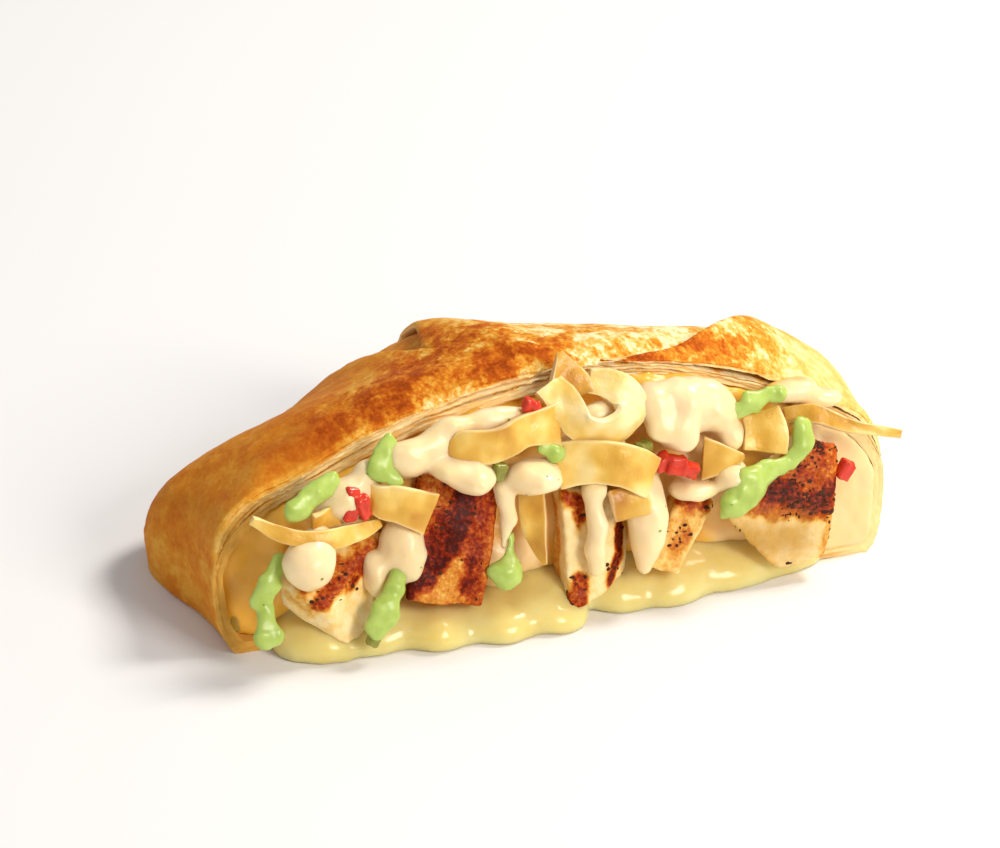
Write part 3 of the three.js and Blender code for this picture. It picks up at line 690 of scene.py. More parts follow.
def crumb(tree, coords):
    """The cut side: streaks that follow the sheet, since one axis of their noise is the depth in it."""
    depth = mark_at(tree, "depth")
    across = output(tree, "ShaderNodeCombineXYZ", {1: calc(tree, "MULTIPLY", depth, CRUMB_ACROSS * MM)})
    drawn = {0: coords, 1: CRUMB_DRAWN, 2: across}
    drawn = output(tree, "ShaderNodeVectorMath", drawn, operation="MULTIPLY_ADD")
    streaks = noise(tree, drawn, CRUMB_SIZE, 4.0, 0.6)
    colour = between(tree, stretched(tree, streaks, 0.34, 0.6), "#ecc06c", "#fdebb8")
    off_middle = calc(tree, "ABSOLUTE", calc(tree, "SUBTRACT", depth, 0.5))
    # The crust lines at both faces are the dough's own colour; the brown in the splits is painted shade.
    crust_and_split_shade = calc(tree, "MULTIPLY", mark_at(tree, "split"), 0.7)
    crust_and_split_shade = calc(tree, "MAXIMUM", stretched(tree, off_middle, 0.28, 0.5, top=0.5), crust_and_split_shade)
    colour = between(tree, crust_and_split_shade, colour, "#c98c3c")
    # Painted shade: golden brown on the crumb low down at the left end of the cut, which lies in shade.
    colour = between(tree, mark_at(tree, "painted_left_shade"), colour, between(tree, streaks, "#b87c2a", "#dcae58"))
    return between(tree, mark_at(tree, "creamy"), colour, "#f7dc9c")


def grilled_dough(tree, coords):
    """Toasted outside and crumb where it was cut, with fine pores all over."""
    inside = calc(tree, "MAXIMUM", mark_at(tree, "cut"), mark_at(tree, "depth"))
    colour = between(tree, inside, toasted(tree, coords), crumb(tree, coords))
    return colour, bumps(tree, noise(tree, coords, CRUMB_SIZE, 4.0, 0.6), 0.25, 0.6)


# Soft wheat dough, grilled dry: matt and pale, with brown blotches where the grill touched it.
dough = material(
    "toasted_flour_dough", grilled_dough, (0.1, (1.0, 0.7, 0.4), 1.5), roughness=0.6, specular=0.03
)

# %% Where the grill has browned the dough
# For each sheet, how toasted it is all over, and patches that are more or less so, seen from above. Each is
# (x, y, half length, half width, turn in degrees, amount).
BROWNED = {
    "tortilla_pouch": (0.43, [(-60, 0, 14, 8, 0, 0.06), (70, 12, 24, 40, 0, -0.28)]),
    "tortilla_flap_back": (0.3, [
        (-12, 22, 9, 10, -20, 0.34), (-14, 42, 10, 9, 0, 0.3), (-2, 30, 8, 6, 0, 0.16),
        (6, 12, 5, 3, 20, 0.16), (30, 20, 22, 22, 0, -0.14),
    ]),
    "tortilla_flap_left_inner": (0.3, []),
    "tortilla_flap_left": (0.49, [
        (-46, 8, 9, 8, 15, 0.22), (-30, 5, 13, 6, 8, 0.18),
        (-9, 5, 12, 6, 5, 0.2), (-22, 18, 16, 6, 40, 0.08),
    ]),
    "tortilla_flap_right": (0.15, [
        (15, 1, 10, 6, 12, 0.34), (30, 4, 15, 9, 14, 0.4),
        (47, 14, 9, 6, 20, 0.14), (64, 24, 12, 8, 40, 0.06),
    ]),
}
PALE_AT_CUT = 0.22  # how much less toasted the edge of the cut is
PALE_REACH = 1.5  # mm


def browned(points, base, patches):
    """How toasted each point is: `base`, and more or less than that in the patches."""
    toast = np.full(len(points), base)
    for x, y, long, wide, turn, amount in patches:
        c, s = math.cos(math.radians(turn)), math.sin(math.radians(turn))
        along = (points[:, 0] - x) * c + (points[:, 1] - y) * s
        aside = (points[:, 1] - y) * c - (points[:, 0] - x) * s
        toast += amount * np.exp(-((along / long) ** 2) - (aside / wide) ** 2)
    return toast


for name, (piece, points) in sheets.items():
    x, y, z = points.T
    toast = browned(points, *BROWNED[name])
    if name != "tortilla_flap_right":
        toast -= PALE_AT_CUT * fade(y, PALE_REACH)
    low_front = rise(44, 26, z) * rise(6, 2, y)
    mark(piece.data, "toast", toast)
    mark(piece.data, "mottle", 0.3 + 0.7 * rise(36, 46, z))
    # Painted shade: low at the left end of the cut, where the wrap lies in shade.
    mark(piece.data, "painted_left_shade", rise(-50, -64, x) * low_front)
    mark(piece.data, "creamy", 0.8 * rise(60, 68, x) * low_front)
    dress(piece, dough, "grilled_tortilla", "tortilla")

# %% [markdown]
# ## Soft and lumpy things: fields and their skins
#
# Sauce, cheese and meat have no neat grid of their own. Each is described by a field: a function that says
# how many millimetres a point is outside the thing, below zero inside it. Fields are easy to join softly,
# to flatten and to roughen. A skin is then laid where the field is zero, one point in each cell of a grid
# that the skin passes through and one face for each grid line that it crosses. The grid may be finer where
# more detail shows.


# %% The skin of a field
def cells_beside(edges, a, step_b, step_c):
    """The cells beside edges of a grid along axis `a`, a step back or not along the two axes after it."""
    cells = edges.copy()
    cells[(a + 1) % 3] -= step_b
    cells[(a + 2) % 3] -= step_c
    return cells


def crossings(field, axes, a, edges):
    """Where a field crosses zero on edges of its grid along axis `a`."""
    ends = edges.copy()
    ends[a] += 1
    before, after = field[tuple(edges)], field[tuple(ends)]
    spots = np.stack([axis[numbers] for axis, numbers in zip(axes, edges)])
    spots[a] += before / (before - after) * (axes[a][ends[a]] - spots[a])
    return spots


def skin(field, axes):
    """Points and four-sided faces where a field, sampled on the grid of three axes, crosses zero."""
    inside = field < 0
    size = np.array(field.shape)[:, None] - 1  # of the grid, in cells
    crossed = [np.array(np.nonzero(np.diff(inside, axis=a))) for a in range(3)]
    # Each cell that the skin goes through has one point: the mean of the crossings on its edges.
    total = np.zeros((*size[:, 0], 3))
    count = np.zeros(size[:, 0])
    for a, edges in enumerate(crossed):
        spots = crossings(field, axes, a, edges)
        for steps in np.ndindex(2, 2):
            cells = cells_beside(edges, a, *steps)
            kept = ((cells >= 0) & (cells < size)).all(axis=0)
            np.add.at(count, tuple(cells[:, kept]), 1)
            np.add.at(total, tuple(cells[:, kept]), spots[:, kept].T)
    number = np.full(count.shape, -1)
    used = count > 0
    number[used] = np.arange(used.sum())
    points = total[used] / count[used][:, None]
    # Each crossed edge has one face: it joins the points of the four cells round the edge.
    faces = []
    for a, edges in enumerate(crossed):
        others = [(a + 1) % 3, (a + 2) % 3]
        fits = ((edges > 0) & (edges < size))[others].all(axis=0)
        edges = edges[:, fits]
        corners = [tuple(cells_beside(edges, a, *steps)) for steps in ((1, 1), (0, 1), (0, 0), (1, 0))]
        quads = np.stack([number[cells] for cells in corners], axis=1)
        outwards = inside[tuple(edges)]
        faces.append(np.where(outwards[:, None], quads, quads[:, ::-1]))
    return points, np.concatenate(faces)


def grid_points(axes):
    """All points of the grid of three axes."""
    return np.stack(np.meshgrid(*axes, indexing="ij"), axis=-1)


# %% Fields of simple things
def place(at):
    """A place [x, in front of the cut, z] as layout coordinates."""
    at = np.asarray(at, dtype=float)
    return at * np.array([1, -1, 1])


def turned(points, at, turn):
    """Points seen from a thing that stands at a place, turned about x, y and z."""
    a, b, c = np.radians(turn)
    about_x = np.array([[1, 0, 0], [0, np.cos(a), -np.sin(a)], [0, np.sin(a), np.cos(a)]])
    about_y = np.array([[np.cos(b), 0, np.sin(b)], [0, 1, 0], [-np.sin(b), 0, np.cos(b)]])
    about_z = np.array([[np.cos(c), -np.sin(c), 0], [np.sin(c), np.cos(c), 0], [0, 0, 1]])
    return (points - place(at)) @ (about_x @ about_y @ about_z)


FAR = 1e3  # the field where nothing is near


def blob(points, at, radii):
    """An ellipsoid round a place."""
    reach = (points - place(at)) / np.array(radii)
    k = np.linalg.norm(reach, axis=-1)
    slope = np.linalg.norm(reach / np.array(radii), axis=-1)
    return k * (k - 1) / np.maximum(slope, 1e-6)


def run(points, path, radii, flat=1.0):
    """A thick run of sauce through several places, each with its own radius, flattened from front to back."""
    nearest = np.full(points.shape[:-1], FAR)
    points = points / (1, flat, 1)
    for a, b, from_r, to_r in zip(path, path[1:], radii, radii[1:]):
        a, b = place(a) / (1, flat, 1), place(b) / (1, flat, 1)
        along = np.clip((points - a) @ (b - a) / ((b - a) @ (b - a)), 0, 1)
        away = np.linalg.norm(points - a - along[..., None] * (b - a), axis=-1)
        nearest = melt(nearest, away - (from_r + (to_r - from_r) * along), 0.8)
    return nearest


def melt(first, second, soft):
    """Two fields as one, with the corner between them filled softly."""
    share = np.clip(0.5 + 0.5 * (second - first) / soft, 0, 1)
    return second * (1 - share) + first * share - soft * share * (1 - share)


# %% The inside of the wrap
def inside_wrap(points, depth):
    """A field of what lies deeper than `depth` mm under the wrap's surface."""

    def level(p):
        turn = np.degrees(np.arctan2(np.abs(p[..., 1]), p[..., 0]))
        reach, widest, foot_in, roundness = at_turn(turn)
        share = np.hypot(p[..., 0], p[..., 1]) / reach
        high = np.maximum(p[..., 2] - widest, 0) / (SHELL_TOP - widest)
        low = np.clip(1 - p[..., 2] / widest, 0, 1)
        side = 1 - foot_in * (1 - (1 - low**FOOT_ROUNDNESS) ** (1 / FOOT_ROUNDNESS))
        return ((share / side) ** roundness + high**roundness) ** (1 / roundness)

    here = level(points)
    step = 0.5  # mm, to measure the slope
    slope = [(level(points + step * axis) - here) / step for axis in np.eye(3)]
    steep = np.sqrt(sum(s * s for s in slope))
    return np.maximum((here - 1) / np.maximum(steep, 1e-4) + depth, depth - points[..., 2])


print("its middle is about", -inside_wrap(np.array([0.0, 30.0, 25.0]), 0).round(1), "mm deep")


# %% [markdown]
# ## Melted cheese
#
# Cheese has melted into a layer on the floor of the pouch and run out over its edge in slow tongues. A
# tongue is thick, smooth and round at its foot, because melted cheese is stiff enough to stand a little.
# Each is a flat blob, and all are melted into one field with the layer, which gives the soft valleys
# between them.

# %% Cheese
CHEESE_RUNS = [
    (-52, 11, 11), (-41, 11, 8.5), (-29, 13.5, 11), (-16, 14.5, 11), (-4, 14, 10),
    (13, 9.5, 9.5), (23, 10.5, 9.5), (35, 8, 10), (45, 5.5, 9.5), (53, 3.5, 7),
]  # x, how far it has run, half as wide
CHEESE_TOP = 9.0
RUN_HALF_HIGH = 6.0
RUN_LEVEL = 2.0  # height of the tongues' middle
CHEESE_FACE = 1.5  # how far it stands in front of the cut
CHEESE_END = 56.0  # x of its right end
CELL = 0.6  # mm, of the grid that a skin is laid on
print(len(CHEESE_RUNS), "tongues of cheese")


# %% The cheese's skin and material
def cheese_field(points):
    """The layer on the pouch's floor, with the tongues that have run out of it."""
    x, y, z = points[..., 0], points[..., 1], points[..., 2]
    level = CHEESE_TOP + 0.9 * rough(points, 9, 3) - 1.2 * rise(0, -6, y)
    level = level - 5 * rise(CHEESE_END - 12, CHEESE_END, x)
    face = CHEESE_FACE - 4 * rise(-56, -66, x) + 0.8 * rough(points, (7, 50, 7), 4)
    layer = np.maximum(inside_wrap(points, LAYER - 0.2), z - level)
    layer = np.maximum(layer, np.maximum(-face - y, x - CHEESE_END))
    runs = np.full(x.shape, FAR)
    for at, out, half in CHEESE_RUNS:
        runs = melt(runs, blob(points, [at, -1, RUN_LEVEL], [half, out + 1, RUN_HALF_HIGH]), 4.0)
    joined = melt(layer, runs, 3.0)
    return joined - 0.9 * rough(points, 8, 5) - 0.15 * rough(points, 2.6, 6)


def cheese_skin():
    """The skin of the cheese. Its grid is coarse behind the cut, and finest at the table."""
    axes = (
        np.arange(-74, 74, CELL),
        np.concatenate([np.arange(-18, 2, CELL), np.linspace(2, 90, 30)]),
        np.concatenate([[-0.6, 0.0], np.arange(0.45, 11.5, 0.55)]),
    )
    points = grid_points(axes)
    field = np.maximum(cheese_field(points), 0.02 - points[..., 2])
    return skin(field, axes)


cheese_points, cheese_faces = cheese_skin()
cheese_points[:, 2] = np.maximum(cheese_points[:, 2], 0)
# Painted shade: golden on the cheese deep in, behind its front at the cut, where it lies in shade.
recess_shade = rise(-5, 0.5, cheese_points[:, 1] + 1.5 * rough(cheese_points, 6, 8))
recess_shade = recess_shade * rise(60, 48, cheese_points[:, 0])
cheese = mesh_piece("melted_cheese_layer", cheese_points, cheese_faces, {"recess_shade": recess_shade})
# Mild melted cheese: pale yellow, wet with its own fat and a little see-through.
jack = material(
    "melted_jack_cheese",
    two_tones("#dcbd5e", "#f5e6a6", 11, 3.0, shade_colour="#c9a244", grain=(3, 2.0, 0.2, 0.35)),
    (0.85, (1.0, 0.8, 0.35), 7.0), roughness=0.2, ior=1.45,
)
dress(cheese, jack, "melted_cheese", "melted_cheese")

# %% [markdown]
# ## Cream sauce and green sauce
#
# A thick cream sauce holds the filling together. It fills the wrap, bulges out between the pieces at the
# cut and runs down over some of them. The bulges are blobs and runs melted into the body of the sauce,
# whose own face is uneven and lies a little further back, so that there are shadows between the pieces.
# Deep in, between the pieces, a mark paints a golden shade on it. The green sauce is runs only,
# flattened from front to back as they would be on a steep face.

# %% Cream sauce
FACE = 3.5  # how far the sauce stands in front of the cut
CREAM = [
    ([-57.1, 12.5, 22.7], [5.2, 4.4, 5]), ([-54.3, 10.5, 26.3], [3.4, 3.2, 3.4]),
    ([-47.2, 6.5, 31.8], [5.6, 4.1, 5]), ([-45.7, 5, 35.1], [5.2, 3.6, 3.6]),
    ([-41.5, 5, 37.7], [3.6, 3.6, 3]), ([-33, 6, 39.4], [5.6, 4.4, 4.2]),
    ([-27.1, 5.5, 40.7], [5, 4.2, 4.2]), ([-35.5, 7, 20], [4.8, 4.6, 7]),
    ([-41.8, 6.5, 15.3], [2.8, 4.1, 4.6]), ([-21.8, 5.5, 44.1], [6.4, 4, 3.2]),
    ([-13.2, 5, 44.3], [7.4, 4, 3.2]), ([-25.1, 8, 36.6], [3.8, 5.6, 2.4]),
    ([-20.8, 9.5, 34.8], [4.6, 7.1, 3.3]), ([-7.2, 9.5, 32.8], [6, 7.1, 3.4]), ([21, 6, 42], [4.6, 4.2, 4]),
    ([27.2, 6, 42.4], [5, 4.2, 3.6]), ([24.2, 7, 38], [5.6, 4.6, 5]), ([31.3, 5, 40], [4.6, 4, 5]),
    ([34.8, 5.5, 38.7], [4.4, 4, 5.4]), ([37.4, 6, 33], [3.2, 3.6, 3.4]), ([36.5, 8, 26.3], [3.6, 5.6, 2.5]),
    ([28.7, 7, 23.5], [5.5, 4.6, 1.9]), ([53.4, 3, 38.8], [5.6, 3.2, 2.6]),
    ([59.8, 2.6, 36.1], [4.4, 3, 1.9]), ([8, 6.5, 41.7], [4, 4.1, 3.4]), ([6.3, 5, 33.5], [9, 4, 6]),
]  # place and radii
CREAM_RUNS = [
    ([[-13.8, 9.5, 30.3], [-13.2, 9.5, 24.3], [-14.6, 9.5, 18.8]], [2, 1.5, 0.9]),
    (
        [[7.6, 5.5, 29.2], [5.4, 10.5, 27.5], [5.2, 11.5, 21.8], [4.3, 12, 16.1], [4.8, 12, 12.7]],
        [3, 2.3, 2.1, 1.9, 1.5],
    ),
    ([[16.7, 7, 26.5], [17.4, 9, 20.6], [16.2, 10.5, 14.8], [15.5, 10.8, 11.1]], [4, 4.2, 3.2, 1.5]),
    ([[21.3, 8, 42], [20.8, 9, 38.1]], [3, 3]),
    ([[26.8, 8, 42], [26, 9.5, 36.3]], [3.2, 3]),
]  # places along each run, and its radius at each
print(len(CREAM), "bulges and", len(CREAM_RUNS), "runs of cream sauce")


# %% The sauce's skin and material
def cream_field(points):
    """The body of the sauce, melted together with its bulges and runs."""
    x, y, z = points[..., 0], points[..., 1], points[..., 2]
    shell = inside_wrap(points, LAYER - 0.15)
    right_end = rise(56, 62, x)
    back = 1.2 + 2.0 * rough(points, (7, 60, 7), 12) * (1 - right_end) + 3.5 * rise(-58, -66, x) + right_end
    back += (2.5 - 1.7 * right_end) * np.exp(np.minimum(shell, 0) / 2.5)
    bottom = CHEESE_TOP - 2.5 - 4 * rise(-50, -60, x) - 6 * rise(CHEESE_END - 6, CHEESE_END, x)
    core = np.maximum(shell, back - FACE - y)
    core = np.maximum(core, bottom - z)
    bulges = np.full(x.shape, FAR)
    for at, radii in CREAM:
        bulges = melt(bulges, blob(points, at, radii), 2.2)
    for path, radii in CREAM_RUNS:
        bulges = melt(bulges, run(points, path, radii), 1.5)
    joined = melt(core, bulges, 3.0)
    return joined - 0.7 * (1 - right_end) * rough(points, 4.5, 14) - 0.25 * rough(points, 2, 15)


def cream_skin():
    """The skin of the sauce. Its grid is coarse behind the cut."""
    axes = (
        np.arange(-73, 73, CELL),
        np.concatenate([np.arange(-20, 5, CELL), np.linspace(5, 90, 26)]),
        np.arange(2, 52, CELL),
    )
    return skin(cream_field(grid_points(axes)), axes)


cream_points, cream_faces = cream_skin()
pressed(cream_points)
# Painted shade: golden on the sauce deep behind its front, between the pieces, where it lies in shade.
recess_shade = rise(-5.5, -1.0, cream_points[:, 1] + 1.2 * rough(cream_points, 4, 16))
recess_shade = recess_shade * (0.25 + 0.75 * rise(60, 52, cream_points[:, 0]))
cream = mesh_piece("cream_sauce_body", cream_points, cream_faces, {"recess_shade": recess_shade})
# Thick cream and cheese sauce: off-white and glossy, so soft with light that its shadows turn warm yellow.
cream_sauce = material(
    "cream_and_cheese_sauce",
    two_tones("#f1d394", "#f8e4c0", 7, 3.0, shade_colour="#f0b640", grain=(1.6, 3.0, 0.2, 0.4)),
    (0.5, (1.0, 0.7, 0.35), 3.5), roughness=0.3, ior=1.45,
)
dress(cream, cream_sauce, "sauce", "cream_sauce")

# %% Green sauce
GREEN_RUNS = [
    ([[-50.1, 7.5, 36.7], [-54.4, 9, 35], [-59, 10, 32.7]], [1.8, 2.3, 2.5]),
    ([[-36.6, 6.5, 42.3], [-40.3, 8.5, 38.7], [-37, 9.5, 35.4]], [1.7, 2.3, 1.9]),
    (
        [[-62.3, 9, 22.2], [-65.4, 10, 19.1], [-67.6, 10, 15.5], [-66.5, 11, 13], [-66.3, 12, 9.5]],
        [2, 2.3, 2.1, 1.5, 2.9],
    ),
    ([[-37.4, 9.5, 16.8], [-39.2, 12, 14.3], [-41.7, 13, 11.2], [-44.2, 13.6, 8.5]], [1.2, 2.2, 2.8, 2.5]),
    ([[-12.4, 9, 20.4], [-13.4, 10, 17.7], [-14.9, 11.5, 14.1]], [0.8, 1.4, 3.7]),
    ([[-5.2, 10, 37.9], [-2.3, 10.3, 36.4]], [1.3, 1.8]),
    ([[-14.3, 7, 45.5], [-9.9, 7, 46.3]], [1.1, 1.5]),
    ([[37.1, 7.5, 37.6], [41.5, 7.5, 40], [48, 6, 40]], [1.5, 2.3, 2]),
    (
        [[52.9, 8, 33.2], [52.4, 9, 29.2], [49.2, 9.5, 26.8], [43.5, 10.5, 26.3],
         [39.3, 12, 24.5], [35.7, 12.6, 21.6], [33.4, 12, 19.3]],
        [1.9, 2.1, 1.5, 2.2, 3.9, 3, 1.2],
    ),
]
GREEN_FLAT = 0.6  # how thick a run of green sauce is, as a share of its width
GREEN_CELL = 0.45  # mm, finer than the other sauce's, since its runs are thin
print(len(GREEN_RUNS), "runs and drops of green sauce")


def green_skin():
    """The skin of all runs and drops of green sauce."""
    axes = tuple(np.arange(low, high, GREEN_CELL) for low, high in ((-71, 60), (-17, 0), (0.6, 45)))
    points = grid_points(axes)
    field = np.full(points.shape[:-1], FAR)
    for path, radii in GREEN_RUNS:
        field = melt(field, run(points, path, radii, GREEN_FLAT), 0.8)
    return skin(field - 0.9 * rough(points, 3.2, 21) - 0.35 * rough(points, 1.4, 22), axes)


green_points, green_faces = green_skin()
green = mesh_piece("green_sauce_drizzle", green_points, green_faces)
# Cream sauce blended with green chile: light yellow-green, thick and glossy.
green_sauce = material(
    "green_chile_cream", two_tones("#96b03a", "#c2d87a", 3, 3.0), (0.35, (1.0, 1.0, 0.3), 2.0),
    roughness=0.3, ior=1.45,
)
dress(green, green_sauce, "sauce", "cream_sauce")

# %% [markdown]
# ## Grilled chicken
#
# The chicken was grilled whole and then cut in chunks, so each chunk has a dark seared side and pale cut
# sides with fibres. A chunk is the smallest convex solid round a few corners, with soft edges, roughened
# across the fibres. Lines with a width say where it was seared: a brush would do the same by hand, but
# lines are easy to move. They become a mark on each point, with a ragged border, which the material turns
# to brown and char. A second mark paints an ochre shade along another line, where a chunk's front lies in
# shade.

# %% Chunks of chicken
# front is a chunk's near end: its corners, anticlockwise from the bottom left. Its far end is `back`, or
# lies `goes` from the near one. bare is how brown it is all over. sear is painted over it in turn: lines
# with their half width and how brown they are. One more line, on chicken_5, is where an ochre shade is
# painted on the left of its front, which lies in shade.
CHICKEN = {
    "chicken_1": dict(
        front=[[-51, 10.5, 3.8], [-43.7, 8, 3.5], [-38.8, 4.5, 23], [-54.4, 13, 12.6]],
        back=[[-61.5, 6, 12], [-54, -3, 9.5], [-46.5, -5, 26.5], [-62.9, 7.5, 17.9]],
        bare=0.06,
        sear=[
            ([[-38, 3, 21.9], [-47.7, 8, 18], [-56, 12, 13.6]], 1.7, 0.7),
            ([[-43, 3, 20.4], [-56.7, 8, 16]], 2.6, 0.5),
            ([[-62.2, 8, 15.5], [-57.5, 10.5, 11.3]], 1.2, 0.3),
            ([[-40.3, 4, 20], [-49, 9, 14.6]], 0.8, 1.0),
        ],
        seed=1,
    ),
    "chicken_2": dict(
        front=[[-36.5, 11, 11.2], [-20.5, 12.5, 7.6], [-13.9, 8, 29.4], [-30.3, 6, 36]],
        goes=[2, -15, -3],
        bare=0.62,
        sear=[
            ([[-31.7, 11, 12.6], [-26, 12, 12.6], [-24.7, 11, 15.6]], 3.4, 0.38),
            ([[-28.7, 6.5, 34.3], [-27.7, 8, 30]], 2.2, 0.5),
            (
                [[-21, 7.5, 30.8], [-22.9, 8.5, 25.3], [-26.2, 9.5, 20.3], [-31.7, 11, 16.1],
                 [-38.7, 11, 12.2]], 2.2, 1.15,
            ),
            ([[-26.7, 8, 25], [-29.5, 9, 20.6]], 2.2, 0.95),
            ([[-17.2, 8, 28], [-20.4, 10, 21.1], [-22.5, 12, 12.1]], 1.6, 0.75),
            ([[-22.2, 11, 16.6], [-23.5, 12, 12.1]], 1.2, 0.9),
            ([[-15.4, 9, 25.6], [-19.6, 12, 11.1]], 0.6, 0.5),
        ],
        seed=2,
    ),
    "chicken_3": dict(
        front=[[-1.4, 11, 3], [8.1, 10.5, 5.5], [13.4, 5.5, 6.7], [14.3, 3.5, 20.2], [9.3, 7, 26],
               [-0.7, 8, 27]],
        goes=[0, -13, 0],
        bare=0.05,
        sear=[
            ([[-2.2, 2, 21.9], [-2.3, 3, 4.4]], 3.6, 0.3),
            ([[0.7, 8, 26], [2.5, 8.5, 24.8], [3, 9, 21.6]], 1.3, 0.75),
            ([[-2.2, 11, 5.2], [0.6, 11, 5.2], [1.3, 10.5, 8.8]], 2, 0.72),
            ([[12.3, 5, 19], [11.7, 7, 13.5], [9.4, 9.5, 7.8]], 1.5, 0.95),
        ],
        seed=3,
    ),
    "chicken_4": dict(
        front=[[15.7, 11.5, 10], [23, 11.5, 7.4], [33.8, 7.5, 19.8], [25.3, 7.5, 22.6]],
        goes=[2, -13, -1],
        bare=0.24,
        sear=[
            ([[25.8, 8, 21.6], [30.8, 8, 20]], 1.8, 0.7),
            ([[26, 9, 15.6], [22.5, 10.5, 12.3]], 1.4, 0.42),
            ([[33.8, 8, 19.6], [23.3, 11.5, 7.6]], 0.7, 0.05),
        ],
        seed=4,
    ),
    "chicken_5": dict(
        front=[[45.5, 9, 3.4], [56.3, 9, 4.2], [59, 10, 14.3], [33.2, 10, 17.5]],
        back=[[50, -4, 7], [62, -4, 9], [63.4, 3.5, 27.7], [53.5, 3, 30.8]],
        bare=0.08,
        # painted shade: ochre on the left of the front, which lies in shade
        ochre_shade_line=[[31, 10, 15], [39, 10, 11.5], [50, 9.5, 10]],
        sear=[
            ([[60.4, 2, 26.9], [59.5, 4, 22.4], [58.7, 7, 17.5]], 5, 0.55),
            ([[47, 7, 20], [55, 4, 22.4]], 5, 0.62),
            ([[40, 9, 19], [51.3, 9, 16.6], [58.3, 9, 15.4]], 2.2, 0.6),
            ([[44, 7, 21.5], [49, 7, 19.6]], 2.4, 0.95),
            ([[51.3, 8.5, 17.6], [56.3, 8.5, 16.6], [59.5, 7, 18.6]], 1.9, 0.9),
            ([[58.5, 3, 25.9], [58.4, 4, 23.9]], 1.4, 0.85),
            ([[52, 4.5, 24.5], [55.5, 5, 21.5]], 1.3, 0.8),
            ([[58.6, 10, 13.1], [56.5, 9, 4.6]], 1.4, 0.34),
            ([[34.6, 10, 16.1], [45, 9, 4.6]], 1.2, 0.2),
        ],
        seed=5,
    ),
}
print(len(CHICKEN), "chunks of chicken")


# %% A convex solid round some corners
def hull_planes(corners):
    """The sides of the smallest convex solid round some corners: outward normals and distances from zero."""
    corners = np.array(corners, dtype=float)
    middle = corners.mean(axis=0)
    sides = []
    for i, j, k in itertools.combinations(range(len(corners)), 3):
        normal = np.cross(corners[j] - corners[i], corners[k] - corners[i])
        size = np.linalg.norm(normal)
        if size < 1e-6:
            continue
        normal = normal / size * np.sign(normal @ (corners[i] - middle))
        if ((corners - corners[i]) @ normal).max() < 0.02:
            sides.append([*normal, normal @ corners[i]])
    return np.unique(np.round(sides, 2), axis=0)


def hull_field(points, corners, soft):
    """A field of a convex solid with its edges rounded by about `soft` mm."""
    planes = hull_planes(corners)
    away = points @ planes[:, :3].T - planes[:, 3]
    return soft * np.log(np.sum(np.exp(away / soft), axis=-1))


# %% The skin of a chunk and its marks
MEAT_CELL = 0.4  # mm, of the grid that the skin is laid on
SHADE_HALF_WIDE = 4.0


def chunk_skin(front, bare, sear, seed, back=None, goes=None, ochre_shade_line=None):
    """A chunk's points, faces and marks."""
    back = back or np.add(front, goes)
    corners = np.array([place(p) for p in [*front, *back]])
    bounds = zip(corners.min(axis=0), corners.max(axis=0))
    axes = tuple(np.arange(low - 2, high + 2, MEAT_CELL) for low, high in bounds)
    points = grid_points(axes)
    along = corners[: len(front)].mean(axis=0) - corners[len(front) :].mean(axis=0)
    grain = points - 0.6 * (points @ along)[..., None] * along / (along @ along)
    field = hull_field(points, corners, 0.4)
    field = field - 0.6 * rough(points, 7, 35 + seed) - 0.2 * rough(points, 2.4, 40 + seed)
    field = field - 0.14 * rough(grain, 0.9, 30 + seed)
    points, faces = skin(field, axes)
    seared = np.full(len(points), bare)
    ochre_shade = np.zeros(len(points))
    wander = 0.8 * rough(points, 2.6, 50 + seed) + 0.5 * rough(points, 1.0, 55 + seed)
    for path, half_wide, amount in sear:
        away = run(points, path, [half_wide] * len(path))
        seared += (amount - seared) * rise(1.0, -0.8, away + wander)
    if ochre_shade_line:
        away = run(points, ochre_shade_line, [SHADE_HALF_WIDE] * len(ochre_shade_line))
        ochre_shade = 0.8 * rise(4.5, -4, away + wander)
    return points, faces, {"sear": seared, "ochre_shade": ochre_shade}


# %% Chicken material and pieces
SEARING = [
    (0.0, "#fae3ac"), (0.16, "#efc572"), (0.3, "#d9963a"), (0.46, "#bd5c1a"), (0.64, "#98310b"),
    (0.8, "#741d07"), (1.0, "#480f05"),
]
NOISE_MIDDLE = 0.48  # what the noise is on average


def seared_meat(tree, coords):
    """Browner with the mark `sear`, in uneven tones, and with grit that chars it only where it is seared."""
    sear = mark_at(tree, "sear")
    tone = calc(tree, "SUBTRACT", noise(tree, coords, 3.0, 4.0, 0.65), NOISE_MIDDLE)
    level = calc(tree, "MULTIPLY_ADD", tone, 0.6, sear)
    grit = calc(tree, "SUBTRACT", noise(tree, coords, 0.8, 3.0, 0.6), NOISE_MIDDLE)
    level = calc(tree, "MULTIPLY_ADD", calc(tree, "MULTIPLY", grit, sear), 1.6, level)
    colour = ramped(tree, calc(tree, "MULTIPLY", level, 0.82), SEARING)
    # Painted shade: ochre where the front of a chunk lies in shade.
    colour = between(tree, mark_at(tree, "ochre_shade"), colour, "#b98a3c")
    return colour, bumps(tree, noise(tree, coords, 1.0, 3.0), 0.3, 0.5)


# Cooked chicken breast: pale and fibrous where it was cut, red-brown and glossy with fat where it was seared.
meat = material(
    "grilled_chicken_breast", seared_meat, (0.1, (1.0, 0.6, 0.3), 1.5), roughness=0.42, specular=0.1
)
chunk_parts = {}
for name, facts in CHICKEN.items():
    points, faces, marks = chunk_skin(**facts)
    chunk_parts[name] = points, faces, marks["sear"]
    dress(mesh_piece(name + "_chunk", points, faces, marks), meat, "grilled_chicken", name)

# %% [markdown]
# ## Fried tortilla strips
#
# Strips of tortilla, fried until they curl and blister, stand out of the filling. Each follows a path, so
# Geometry Nodes sweep them: a line as wide as the strip is drawn along the path, with its flat side turned
# as the strip's is, and bent by noise. A Solidify modifier gives it its thickness and a bevel softens its
# edges a little. Modelling each by hand would give the same forms, but a change to their thickness or bend
# would then mean twelve changes.

